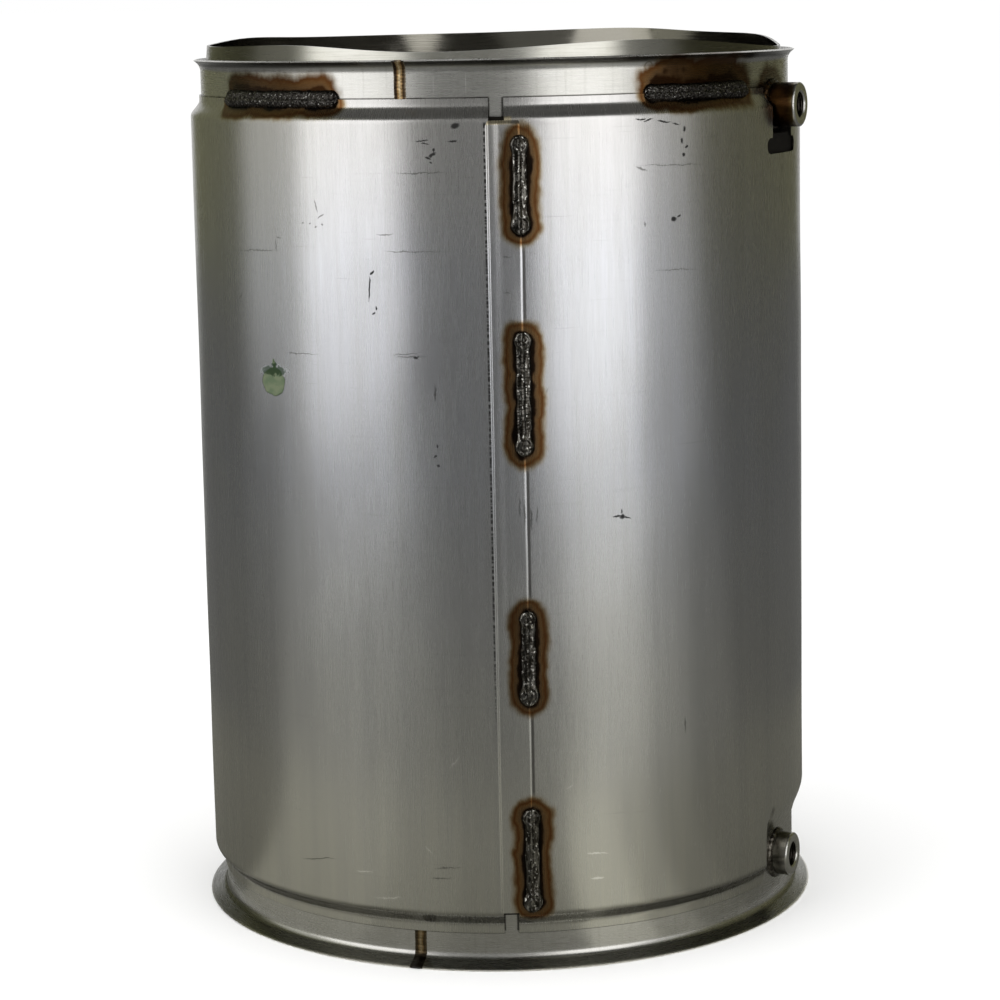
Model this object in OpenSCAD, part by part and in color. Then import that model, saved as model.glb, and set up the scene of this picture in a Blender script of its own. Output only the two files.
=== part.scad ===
// Diesel particulate filter: a ceramic honeycomb in a flared can, wrapped in a welded heat shield.
// Millimetres, +Z along the gas path, origin on the axis at the outlet lip.
// Angles run round the axis from the front (-Y), positive towards +X.

/* [Can] */
// Outside diameter of the can
can_d = 308; // [260:1:360]
// Wall of the can
can_t = 1.5; // [1:0.1:2.5]
// Length of the can from outlet lip to inlet lip
can_h = 447; // [430:1:560]
// Width of the butt weld that closes the can
can_weld_w = 3.6; // [2:0.2:6]
// Place of the butt weld round the can
can_weld_angle = -17; // [-25:1:-12]

/* [Flared lips] */
// How far the outlet lip stands out from the can
outlet_lip_reach = 9; // [7:0.5:14]
// Angle of the outlet lip from the axis
outlet_lip_angle = 68; // [55:1:75]
// Bend radius at the outlet lip
outlet_bend_r = 4; // [3:0.5:6]
// How far the inlet lip stands out from the can
inlet_lip_reach = 3.4; // [3:0.2:8]
// Angle of the inlet lip from the axis
inlet_lip_angle = 50; // [45:1:60]
// Bend radius at the inlet lip
inlet_bend_r = 6; // [4:0.5:6.5]
// Depth trimmed square off the edge of each lip
lip_land = 0.5; // [0.3:0.1:0.6]

/* [Spigot ring] */
// Height of the spigot rim above the inlet lip
spigot_rise = 8.5; // [8:0.5:16]
// Wall of the spigot ring
spigot_t = 1.5; // [1:0.1:2.5]
// Length of the ring's seat inside the can
spigot_seat_h = 9; // [6:0.5:10]
// How far the ring steps in above its seat
spigot_step = 1.4; // [0.8:0.1:3]
// How far the wall leans in from the step to the rim
spigot_lean = 1; // [0:0.1:2]

/* [Heat shield] */
// Sheet of the heat shield
shield_t = 1; // [0.8:0.1:1.5]
// Space for insulation between can and shield
shield_gap = 5; // [4:0.5:12]
// Lower edge of the shield above the outlet lip
shield_lower = 17.5; // [14:0.5:20]
// Upper edge of the shield below the inlet lip
shield_upper = 18.6; // [16:0.5:20]
// Height of the lower band that grips the can
lower_band_h = 6; // [4:0.5:8]
// Height of the upper band that grips the can
upper_band_h = 4.5; // [3:0.5:6]
// Height of the slope between band and barrel
swage_h = 4.4; // [3:0.2:8]

// Clearance of the insulation to the can and to the shield
blanket_clear = 0.3; // [0.1:0.1:0.5]

/* [Lap seam] */
// Where the lap strip steps up off the barrel
joggle_angle = -1.2; // [-2:0.1:-0.8]
// Cut edge of the lap strip
lap_edge_angle = 4.1; // [3.5:0.1:6]
// Edge of the sheet under the lap strip
under_edge_angle = 1.5; // [1:0.1:2]
// Length of the step at the joggle, round the barrel
joggle_run = 1; // [0.6:0.1:2]
// Space under the lap strip
lap_gap = 0.2; // [0.1:0.05:0.4]
// Distance of the strip's ends from the shield's shoulders
lap_end_gap = 1.6; // [0.5:0.1:4]

/* [Stitch welds] */
// Width of a stitch on the lap seam
seam_bead_w = 7.5; // [5:0.5:9]
// Height of a stitch on the lap seam
seam_bead_h = 2.4; // [1.5:0.1:3]
// Length of the four stitches, from the top down
seam_stitch_len = [48, 61, 48, 53];
// Centres of the upper two stitches below the strip's upper end
upper_stitch_drop = [30, 130];
// Centres of the lower two stitches above the strip's lower end
lower_stitch_rise = [128, 28];
// Height of a stitch on the upper band
band_bead_w = 9.6; // [7:0.2:12]
// Bulge of a stitch on the upper band
band_bead_h = 3; // [2:0.1:4]
// First and last angle of the left band stitch
left_stitch_span = [-59.5, -29.5];
// First and last angle of the right band stitch
right_stitch_span = [28, 53.5];

/* [Sensor bosses] */
// Place of both bosses round the can
boss_angle = 65.5; // [63.5:1:73.5]
// Outside diameter of a boss
boss_d = 22.4; // [20:0.2:25]
// Bore of a boss, the core of an M14 x 1.5 thread
boss_bore_d = 12.5; // [10:0.1:16]
// Height of the inlet boss above the can
inlet_boss_h = 15.5; // [12:0.5:24]
// Height of the outlet boss above the can
outlet_boss_h = 9.5; // [8:0.5:24]
// Axis of the inlet boss below the inlet lip
inlet_boss_drop = 27.6; // [26:0.2:32]
// Axis of the outlet boss above the outlet lip
outlet_boss_z = 28.5; // [26:0.5:30]
// Chamfer on the mouth of a boss
boss_chamfer = 0.8; // [0.4:0.1:1.5]
// Leg of the fillet weld round a boss
boss_weld_leg = 2; // [1.5:0.1:2.5]
// Hole in the can wall under a boss
port_d = 15; // [13:0.5:18]

/* [Shield openings] */
// Gap between a boss weld and the shield
boss_clear = 1; // [0.6:0.1:2]
// Lowest point of the keyhole below the inlet boss axis
keyhole_drop = 24.2; // [22:0.2:34]
// Width of the keyhole's foot
keyhole_foot_w = 41; // [34:1:50]
// Height of the keyhole's foot
keyhole_foot_h = 8; // [6:0.5:9]
// Angle from the outlet boss to the left and to the right side of its relief
relief_span = [8.5, 41.5];
// Height of the pressed slope above the relief
relief_slope_h = 11; // [8:0.5:16]
// Flat foot of the relief on the can
relief_band_h = 1.5; // [1:0.5:4]

/* [Filter] */
// Length of the honeycomb
brick_len = 356; // [300:1:360]
// Thickness of the mat between honeycomb and can
mat_t = 9.5; // [6:0.5:16]
// Width of one bonded segment of the honeycomb
segment_w = 36; // [30:1:50]
// Width of the cement joint between segments
joint_w = 1.2; // [0.8:0.1:2]
// Depth of the cement joint below the end face
joint_depth = 1; // [0.5:0.1:2]
// Height of the wire seal at each end of the mat
seal_h = 9; // [6:0.5:14]
// Chamfer on the edges of the wire seal
seal_chamfer = 2; // [1:0.2:2.8]
// Sheet of the retaining rings
retainer_t = 1.5; // [1:0.1:2.5]
// Height of a retaining ring along the can
retainer_h = 8; // [5:0.5:9]
// How far a retaining ring covers the honeycomb
retainer_cover = 4; // [2:0.5:10]

/* [Hidden] */
round_fn = 180;
fine_fn = 360;
small_fn = 96;
bend_steps = 6;
bead_steps = 5;
// Turn of a stitch about its own axis that hides its seam under the sheet
bead_start = 135;
full_turn = 360;
spare = 1;

can_r = can_d / 2;
can_ri = can_r - can_t;
can_weld_turn = can_weld_w / can_r * 180 / PI;

shield_ri = can_r + shield_gap;
shield_r = shield_ri + shield_t;
shield_z0 = shield_lower;
shield_z1 = can_h - shield_upper;
lower_fold_z = shield_z0 + lower_band_h;
upper_fold_z = shield_z1 - upper_band_h;
lower_shoulder_z = lower_fold_z + swage_h;
upper_shoulder_z = upper_fold_z - swage_h;
// Offset of the outer fold lines along the axis from the inner ones
swage_shift = shield_t * tan(atan(shield_gap / swage_h) / 2);

lap_ri = shield_r + lap_gap;
lap_r = lap_ri + shield_t;
lap_z0 = lower_shoulder_z + lap_end_gap;
lap_z1 = upper_shoulder_z - lap_end_gap;
joggle_turn = joggle_run / shield_r * 180 / PI;

boss_r = boss_d / 2;
bore_r = boss_bore_d / 2;
boss_weld_r = boss_r + boss_weld_leg;
inlet_boss_z = can_h - inlet_boss_drop;
keyhole_neck_w = 2 * (boss_weld_r + boss_clear);
relief_left = boss_angle - relief_span[0];
relief_right = boss_angle + relief_span[1];
relief_z0 = outlet_boss_z + boss_weld_r + boss_clear;
relief_fold_z = relief_z0 + relief_band_h;
relief_z1 = relief_fold_z + relief_slope_h;
relief_shift = shield_t * tan(atan(shield_gap / relief_slope_h) / 2);
// Angle the side walls of the relief take up round the can
relief_turn = shield_t / shield_ri * 180 / PI;

brick_r = can_ri - mat_t;
brick_z0 = (can_h - brick_len) / 2;
brick_z1 = brick_z0 + brick_len;
joint_lines = floor(brick_r / segment_w);

spigot_r = can_ri - spigot_step;
spigot_z0 = can_h - flare_height(inlet_lip_reach, inlet_bend_r, inlet_lip_angle) - spigot_seat_h;
spigot_z1 = spigot_z0 + spigot_seat_h;
spigot_rim_z = can_h + spigot_rise;
// Each wave of the rim: angle, half its width in degrees, rise (negative for a dip)
rim_waves = [[-13, 21, -5.6], [80, 24, -7.2], [148, 16, 2.6]];
rim_top_z = spigot_rim_z + max([for (w = rim_waves) w[2]]);

// Length of the straight stretch of a lip beyond its bend
function lip_straight(reach, bend, turn) = (reach - bend * (1 - cos(turn))) / sin(turn);

// Height of a lip from the start of its bend to its trimmed end
function flare_height(reach, bend, turn) =
    (bend + can_t) * sin(turn) + lip_straight(reach, bend, turn) * cos(turn) - lip_land;

// Outer side of a lip, from the start of its bend: [radius, height]
function flare_outer(reach, bend, turn) = concat(
    [for (i = [0 : bend_steps]) let (a = turn * i / bend_steps)
        [can_r + bend * (1 - cos(a)), bend * sin(a)]],
    [[can_r + reach, bend * sin(turn) + lip_straight(reach, bend, turn) * cos(turn)]]
);

// Inner side of a lip from its trimmed end back to the start of its bend
function flare_inner(reach, bend, turn) =
    let (tip = [can_r + reach - can_t * cos(turn),
                (bend + can_t) * sin(turn) + lip_straight(reach, bend, turn) * cos(turn)])
    concat(
        [[tip[0] + lip_land / tan(turn), tip[1] - lip_land]],
        [[tip[0] - lip_land * tan(turn), tip[1] - lip_land]],
        [for (i = [bend_steps : -1 : 0]) let (a = turn * i / bend_steps)
            [can_r + bend - (bend + can_t) * cos(a), (bend + can_t) * sin(a)]]
    );

// Section of the can wall with both lips
function can_section() =
    let (h0 = flare_height(outlet_lip_reach, outlet_bend_r, outlet_lip_angle),
         h1 = can_h - flare_height(inlet_lip_reach, inlet_bend_r, inlet_lip_angle))
    concat(
        [for (p = flare_outer(inlet_lip_reach, inlet_bend_r, inlet_lip_angle)) [p[0], h1 + p[1]]],
        [for (p = flare_inner(inlet_lip_reach, inlet_bend_r, inlet_lip_angle)) [p[0], h1 + p[1]]],
        [for (p = reversed(flare_inner(outlet_lip_reach, outlet_bend_r, outlet_lip_angle)))
            [p[0], h0 - p[1]]],
        [for (p = reversed(flare_outer(outlet_lip_reach, outlet_bend_r, outlet_lip_angle)))
            [p[0], h0 - p[1]]]
    );

function reversed(list) = [for (i = [len(list) - 1 : -1 : 0]) list[i]];

// Section inside the outer face of the shield: lower band, slope, barrel, slope, upper band
function shield_outer() = [
    [can_r, shield_z0], [can_r + shield_t, shield_z0], [can_r + shield_t, lower_fold_z - swage_shift],
    [shield_r, lower_shoulder_z - swage_shift], [shield_r, upper_shoulder_z + swage_shift],
    [can_r + shield_t, upper_fold_z + swage_shift], [can_r + shield_t, shield_z1], [can_r, shield_z1]
];

// Section of the hollow between the two bands of the shield
function shield_hollow() =
    let (run_out = can_t * swage_h / shield_gap)
    [
        [can_ri, lower_fold_z - run_out], [shield_ri, lower_shoulder_z],
        [shield_ri, upper_shoulder_z], [can_ri, upper_fold_z + run_out]
    ];

// Section pressed in below a sloping line that starts at a radius and height
function relief_press(r, z) =
    let (reach = lap_r - r)
    [[r, 0], [r, z], [lap_r, z + reach * relief_slope_h / shield_gap], [lap_r, 0]];

// Turn the 2D children round the axis between two angles
module sweep(from, to) {
    rotate([0, 0, from - 90]) rotate_extrude(angle = to - from, $fn = round_fn) children();
}

// Place children with their own +Z pointing out from the axis
module radial(angle, z) {
    rotate([0, 0, angle - 90]) translate([0, 0, z]) rotate([0, 90, 0]) children();
}

// Block with a rectangular section swept round the axis
module ring_block(r0, r1, z0, z1, from, to) {
    sweep(from, to) translate([r0, z0]) square([r1 - r0, z1 - z0]);
}

// Space inside the outer face of the can
module can_barrel() {
    translate([0, 0, -spare]) cylinder(r = can_r, h = can_h + 2 * spare, $fn = fine_fn);
}

module ring(r0, r1, z0, z1) {
    translate([0, 0, z0]) difference() {
        cylinder(r = r1, h = z1 - z0, $fn = round_fn);
        translate([0, 0, -spare]) cylinder(r = r0, h = z1 - z0 + 2 * spare, $fn = round_fn);
    }
}

module can_shell() color("Silver") difference() {
    sweep(can_weld_angle + can_weld_turn / 2, can_weld_angle - can_weld_turn / 2 + full_turn)
        polygon(can_section());
    for (z = [inlet_boss_z, outlet_boss_z])
        radial(boss_angle, z) translate([0, 0, can_ri - can_t])
            cylinder(d = port_d, h = 3 * can_t, $fn = small_fn);
}

module can_seam_weld() color("Peru")
    sweep(can_weld_angle - can_weld_turn / 2, can_weld_angle + can_weld_turn / 2) polygon(can_section());

// Disc across the rim whose edge draws one wave, standing over a dip or under a rise
module wave_disc(wave) {
    chord = spigot_r * sin(wave[1]);
    disc_r = (chord * chord + wave[2] * wave[2]) / (2 * abs(wave[2]));
    radial(wave[0], spigot_rim_z + wave[2] - sign(wave[2]) * disc_r)
        translate([0, 0, spigot_r / 2]) cylinder(r = disc_r, h = spigot_r, $fn = 2 * round_fn);
}

module inlet_spigot_ring() color("DarkKhaki") difference() {
    rotate_extrude($fn = round_fn) polygon([
        [can_ri, spigot_z0], [can_ri, spigot_z1], [spigot_r, spigot_z1 + 2 * spigot_step],
        [spigot_r - spigot_lean, rim_top_z], [spigot_r - spigot_lean - spigot_t, rim_top_z],
        [spigot_r - spigot_t, spigot_z1 + 2 * spigot_step], [can_ri - spigot_t, spigot_z1],
        [can_ri - spigot_t, spigot_z0]
    ]);
    difference() {
        translate([0, 0, spigot_rim_z])
            cylinder(r = can_r, h = rim_top_z - spigot_rim_z + spare, $fn = round_fn);
        for (wave = rim_waves) if (wave[2] > 0) wave_disc(wave);
    }
    for (wave = rim_waves) if (wave[2] < 0) wave_disc(wave);
}

// Outline of the keyhole: a neck for the boss, open at the top, over a wider round-ended foot
module keyhole_outline() {
    foot_x = keyhole_drop - keyhole_foot_h / 2;
    foot_run = keyhole_foot_w - keyhole_foot_h;
    translate([-inlet_boss_drop, -keyhole_neck_w / 2])
        square([inlet_boss_drop + foot_x, keyhole_neck_w]);
    translate([foot_x - keyhole_foot_h / 2, -foot_run / 2]) square([keyhole_foot_h, foot_run]);
    for (side = [-1, 1]) translate([foot_x, side * foot_run / 2])
        circle(d = keyhole_foot_h, $fn = small_fn);
}

// Strip that steps up off one end of the sheet and runs over the other end
module lap_strip() difference() {
    ring_block(shield_r - shield_t / 2, lap_r, lap_z0, lap_z1, joggle_angle - joggle_turn, lap_edge_angle);
    ring_block(shield_ri, lap_ri, lap_z0 - spare, lap_z1 + spare,
               joggle_angle, lap_edge_angle + joggle_turn);
}

module heat_shield() color("LightGray") difference() {
    union() {
        difference() {
            sweep(under_edge_angle, joggle_angle + full_turn) polygon(shield_outer());
            difference() {
                rotate_extrude($fn = round_fn) polygon(shield_hollow());
                sweep(relief_left - relief_turn, relief_right + relief_turn)
                    polygon(relief_press(can_ri, relief_fold_z - can_t * relief_slope_h / shield_gap));
            }
            sweep(relief_left, relief_right)
                polygon(relief_press(can_r + shield_t, relief_fold_z - relief_shift));
            ring_block(can_ri, lap_r, 0, relief_z0, relief_left, relief_right);
        }
        lap_strip();
    }
    radial(boss_angle, inlet_boss_z) translate([0, 0, can_ri])
        linear_extrude(lap_r - can_ri) keyhole_outline();
}

module insulation_blanket() color("DimGray") difference() {
    ring(can_r + blanket_clear, shield_ri - blanket_clear, lower_shoulder_z, upper_shoulder_z);
    radial(boss_angle, inlet_boss_z) translate([-inlet_boss_drop, -keyhole_neck_w / 2, can_ri])
        cube([inlet_boss_drop + boss_weld_r + boss_clear, keyhole_neck_w, lap_r - can_ri]);
    ring_block(can_ri, shield_r, 0, relief_z1, relief_left - relief_turn, relief_right + relief_turn);
}

// Half-round bead down the edge of the lap strip, with a fuller blob at each end
module seam_stitch(middle, length) {
    bead_r = (seam_bead_w * seam_bead_w / 4 + seam_bead_h * seam_bead_h) / (2 * seam_bead_h);
    blob_r = bead_r + shield_t / 2;
    bead_x = (shield_r + lap_r) / 2 + seam_bead_h - bead_r;
    half_run = length / 2 - blob_r;
    // Angle on the blob where the bead leaves it
    leave = asin(bead_r / blob_r);
    blob = [for (i = [0 : bead_steps]) let (a = (180 - leave) * i / bead_steps)
        [blob_r * sin(a), half_run + blob_r * cos(a)]];
    color("DarkSlateGray") difference() {
        rotate([0, 0, lap_edge_angle - 90]) translate([bead_x, -lap_gap, middle]) rotate([0, 0, bead_start])
            rotate_extrude($fn = small_fn) polygon(concat(blob, [for (p = reversed(blob)) [p[0], -p[1]]]));
        translate([0, 0, shield_z0]) cylinder(r = shield_r, h = shield_z1 - shield_z0, $fn = fine_fn);
        ring_block(shield_ri, lap_r, lap_z0, lap_z1, joggle_angle, lap_edge_angle);
    }
}

module seam_weld_1() seam_stitch(lap_z1 - upper_stitch_drop[0], seam_stitch_len[0]);
module seam_weld_2() seam_stitch(lap_z1 - upper_stitch_drop[1], seam_stitch_len[1]);
module seam_weld_3() seam_stitch(lap_z0 + lower_stitch_rise[0], seam_stitch_len[2]);
module seam_weld_4() seam_stitch(lap_z0 + lower_stitch_rise[1], seam_stitch_len[3]);

// Bead along the upper edge of the shield, lying on the band and on the can above it
module band_stitch(span) {
    bead_r = (band_bead_w * band_bead_w / 4 + band_bead_h * band_bead_h) / (2 * band_bead_h);
    bead_x = can_r + band_bead_h - bead_r;
    color("DarkSlateGray") difference() {
        union() {
            sweep(span[0], span[1]) translate([bead_x, shield_z1]) circle(r = bead_r, $fn = small_fn);
            for (angle = span) rotate([0, 0, angle - 90]) translate([bead_x, 0, shield_z1])
                sphere(r = bead_r + shield_t / 4, $fn = small_fn);
        }
        can_barrel();
        ring(can_ri, can_r + shield_t, shield_z0, shield_z1);
    }
}

module band_weld_left() band_stitch(left_stitch_span);
module band_weld_right() band_stitch(right_stitch_span);

// Turned boss, its foot cut to the can, its mouth chamfered inside and out
module sensor_boss(z, height) {
    end_r = can_r + height;
    difference() {
        radial(boss_angle, z) rotate_extrude($fn = small_fn) polygon([
            [bore_r, can_ri], [boss_r, can_ri], [boss_r, end_r - boss_chamfer],
            [boss_r - boss_chamfer, end_r], [bore_r + boss_chamfer, end_r], [bore_r, end_r - boss_chamfer]
        ]);
        can_barrel();
    }
}

module inlet_sensor_boss() color("SaddleBrown") sensor_boss(inlet_boss_z, inlet_boss_h);
module outlet_sensor_boss() color("LightSlateGray") sensor_boss(outlet_boss_z, outlet_boss_h);

// Fillet weld between a boss and the can
module boss_fillet(z) color("DarkSlateGray") difference() {
    radial(boss_angle, z) rotate_extrude($fn = small_fn) polygon([
        [boss_r, can_ri], [boss_weld_r, can_ri], [boss_weld_r, can_r], [boss_r, can_r + boss_weld_leg]
    ]);
    can_barrel();
}

module inlet_boss_weld() boss_fillet(inlet_boss_z);
module outlet_boss_weld() boss_fillet(outlet_boss_z);

// Cement joints of one end face, lines both ways across the honeycomb
module cement_joints(z) {
    for (turn = [0, 90], i = [-joint_lines : joint_lines])
        rotate([0, 0, turn]) translate([i * segment_w - joint_w / 2, -brick_r - spare, z])
            cube([joint_w, 2 * (brick_r + spare), joint_depth + spare]);
}

module filter_substrate() color("Gray") difference() {
    translate([0, 0, brick_z0]) cylinder(r = brick_r, h = brick_len, $fn = round_fn);
    cement_joints(brick_z1 - joint_depth);
    cement_joints(brick_z0 - spare);
}

module support_mat() color("Gainsboro") ring(brick_r, can_ri, brick_z0 + seal_h, brick_z1 - seal_h);

// Knitted-wire ring squeezed between honeycomb and can
module end_seal(z0) color("SlateGray") rotate_extrude($fn = round_fn) polygon([
    [brick_r, z0 + seal_chamfer], [brick_r + seal_chamfer, z0], [can_ri - seal_chamfer, z0],
    [can_ri, z0 + seal_chamfer], [can_ri, z0 + seal_h - seal_chamfer],
    [can_ri - seal_chamfer, z0 + seal_h], [brick_r + seal_chamfer, z0 + seal_h],
    [brick_r, z0 + seal_h - seal_chamfer]
]);

module inlet_end_seal() end_seal(brick_z1 - seal_h);
module outlet_end_seal() end_seal(brick_z0);

// Angle ring: a flange over the edge of the honeycomb and a wall along the can
module retaining_angle(z, side) color("DarkGray") translate([0, 0, z]) mirror([0, 0, side < 0 ? 1 : 0])
    rotate_extrude($fn = round_fn) polygon([
        [brick_r - retainer_cover, 0], [can_ri, 0], [can_ri, retainer_h], [can_ri - retainer_t, retainer_h],
        [can_ri - retainer_t, retainer_t], [brick_r - retainer_cover, retainer_t]
    ]);

module inlet_retaining_ring() retaining_angle(brick_z1, 1);
module outlet_retaining_ring() retaining_angle(brick_z0, -1);

can_shell();
can_seam_weld();
inlet_spigot_ring();
heat_shield();
insulation_blanket();
seam_weld_1();
seam_weld_2();
seam_weld_3();
seam_weld_4();
band_weld_left();
band_weld_right();
inlet_sensor_boss();
outlet_sensor_boss();
inlet_boss_weld();
outlet_boss_weld();
filter_substrate();
support_mat();
inlet_end_seal();
outlet_end_seal();
inlet_retaining_ring();
outlet_retaining_ring();
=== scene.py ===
"""Diesel particulate filter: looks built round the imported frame.
Metres; angles in degrees from the front (-Y) towards +X."""
import math

import bpy
import numpy as np
from mathutils import Matrix


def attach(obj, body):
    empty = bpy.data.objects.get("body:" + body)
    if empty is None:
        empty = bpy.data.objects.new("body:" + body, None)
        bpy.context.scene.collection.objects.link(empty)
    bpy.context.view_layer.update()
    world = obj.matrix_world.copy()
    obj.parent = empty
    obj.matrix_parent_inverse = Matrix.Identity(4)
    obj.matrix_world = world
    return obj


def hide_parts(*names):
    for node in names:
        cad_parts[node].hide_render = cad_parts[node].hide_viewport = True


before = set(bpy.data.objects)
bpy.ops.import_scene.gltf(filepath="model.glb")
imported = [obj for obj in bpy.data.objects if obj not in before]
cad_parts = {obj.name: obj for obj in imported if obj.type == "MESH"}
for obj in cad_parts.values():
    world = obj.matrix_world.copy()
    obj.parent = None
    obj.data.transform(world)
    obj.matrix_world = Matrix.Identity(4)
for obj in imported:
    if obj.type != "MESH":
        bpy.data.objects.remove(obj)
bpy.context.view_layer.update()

CAN_R, CAN_T, CAN_H = 0.154, 0.0015, 0.447
SHEET_R, SHEET_T = 0.160, 0.001
SHEET_Z0, SHEET_Z1 = 0.0175, 0.4284
JOGGLE, LAP_EDGE, UNDER_EDGE = -1.2, 4.1, 1.5
LAP_Z0, LAP_Z1, LAP_RISE = 0.0295, 0.4179, 0.0012
BOSS_ANGLE, BOSS_R, BORE_R, BOSS_LEG = 65.5, 0.0112, 0.00625, 0.002
INLET_BOSS_Z, INLET_BOSS_H = 0.4194, 0.0155
OUTLET_BOSS_Z, OUTLET_BOSS_H = 0.0285, 0.0095
PORT_R, THREAD_PITCH = 0.0075, 0.0015
SEAM_WELDS = [(0.3872, 0.048), (0.2871, 0.061), (0.1575, 0.048), (0.0560, 0.053)]
BAND_WELDS = {"left": (-59.5, -29.5), "right": (28.0, 53.5)}
BAND_WELD_Z = SHEET_Z1 + 0.0005
CAN_SEAM = -17.0


def ramp(x, a, b):
    """Smooth step from 0 at a to 1 at b."""
    t = np.clip((np.asarray(x, float) - a) / (b - a), 0, 1)
    return t * t * (3 - 2 * t)


def bump(x, width):
    """Bell curve of height 1 round 0."""
    return np.exp(-(x / width) ** 2)


def waves(x, y, seed, count, lo, hi):
    """Sum of plane waves of unit size with lengths between lo and hi, the same every run."""
    rng = np.random.default_rng(seed)
    length = lo * (hi / lo) ** rng.random(count)
    turn, phase = rng.random(count) * 2 * np.pi, rng.random(count) * 2 * np.pi
    out = np.zeros(np.broadcast(x, y).shape)
    for n, t, p in zip(length, turn, phase):
        out += np.sin(2 * np.pi / n * (x * np.cos(t) + y * np.sin(t)) + p)
    return out / math.sqrt(count)


def place(theta, r, z):
    """Points at angle theta, radius r and height z."""
    theta, r, z = np.broadcast_arrays(np.radians(theta), r, z)
    return np.stack([r * np.sin(theta), -r * np.cos(theta), z], -1)


def boss_place(rho, psi, h, z):
    """Points round a boss's axis: rho from it, turned psi from straight up, h out from the can's axis."""
    a = math.radians(BOSS_ANGLE)
    rho, psi, h = np.broadcast_arrays(rho, psi, h)
    side = rho * np.sin(psi)
    return np.stack([h * math.sin(a) + side * math.cos(a), side * math.sin(a) - h * math.cos(a),
                     z + rho * np.cos(psi)], -1)


def quads(nu, nv, wrap_u=False, wrap_v=False):
    """Quad indices of a grid with nu by nv points, closed round where asked."""
    i = np.arange(nu if wrap_u else nu - 1)[:, None]
    j = np.arange(nv if wrap_v else nv - 1)[None, :]
    i2, j2 = (i + 1) % nu, (j + 1) % nv
    return np.stack([i * nv + j, i2 * nv + j, i2 * nv + j2, i * nv + j2], -1).reshape(-1, 4)


def shell(outer, inner, keep=None):
    """Closed sheet from two matching grids of points; keep says which cells are there.
    Gives vertices, faces, the grid points in use, and which faces are the strip along the free edges."""
    nu, nv = outer.shape[:2]
    cells = quads(nu, nv)
    if keep is not None:
        cells = cells[keep.ravel()]
    edges = np.concatenate([cells[:, [k, (k + 1) % 4]] for k in range(4)])
    key = np.sort(edges, 1) @ np.array([nu * nv, 1])
    _, back, count = np.unique(key, return_inverse=True, return_counts=True)
    free = edges[count[back] == 1]
    n = nu * nv
    rim = np.stack([free[:, 1], free[:, 0], free[:, 0] + n, free[:, 1] + n], 1)
    faces = np.concatenate([cells, cells[:, ::-1] + n, rim])
    verts = np.concatenate([outer.reshape(-1, 3), inner.reshape(-1, 3)])
    used, index = np.unique(faces, return_inverse=True)
    return verts[used], index.reshape(-1, 4), used, np.arange(len(faces)) >= 2 * len(cells)


def cut(s, z, distance):
    """Cells to keep where distance(s, z) is positive in their middle, with the points along the cut moved
    onto the line of no distance by a few Newton steps down its slope."""
    keep = distance((s[1:, 1:] + s[:-1, 1:] + s[1:, :-1] + s[:-1, :-1]) / 4,
                    (z[1:, 1:] + z[:-1, 1:] + z[1:, :-1] + z[:-1, :-1]) / 4) > 0
    near, gone = np.zeros(s.shape, bool), np.zeros(s.shape, bool)
    for a in (slice(1, None), slice(None, -1)):
        for b in (slice(1, None), slice(None, -1)):
            near[a, b] |= keep
            gone[a, b] |= ~keep
    e = 1e-5
    for _ in range(4):
        d = distance(s, z)
        gs = (distance(s + e, z) - distance(s - e, z)) / (2 * e)
        gz = (distance(s, z + e) - distance(s, z - e)) / (2 * e)
        g = np.maximum(gs * gs + gz * gz, 1e-6)
        s, z = np.where(near & gone, s - d * gs / g, s), np.where(near & gone, z - d * gz / g, z)
    return s, z, keep


def make(name, verts, faces, mat, node=None, uv=None, edge=None, crease=35):
    """Mesh object from arrays of points and quads, riding on the frame in place of a node."""
    mesh = bpy.data.meshes.new(name)
    mesh.from_pydata(verts.reshape(-1, 3), [], faces.tolist())
    if uv is not None:
        layer = mesh.uv_layers.new(name="sheet")
        loops = np.empty(len(mesh.loops), np.int64)
        mesh.loops.foreach_get("vertex_index", loops)
        layer.data.foreach_set("uv", uv.reshape(-1, 2)[loops].astype(np.float32).ravel())
    if edge is not None:
        layer = mesh.attributes.new(name="edge", type="FLOAT", domain="FACE")
        layer.data.foreach_set("value", edge.astype(np.float32))
    mesh.polygons.foreach_set("use_smooth", np.ones(len(mesh.polygons), bool))
    mesh.update()
    mesh.set_sharp_from_angle(angle=math.radians(crease))
    mesh.materials.append(mat)
    obj = bpy.data.objects.new(name, mesh)
    bpy.context.scene.collection.objects.link(obj)
    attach(obj, "root")
    if node:
        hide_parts(node)
    return obj


# Materials

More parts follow.
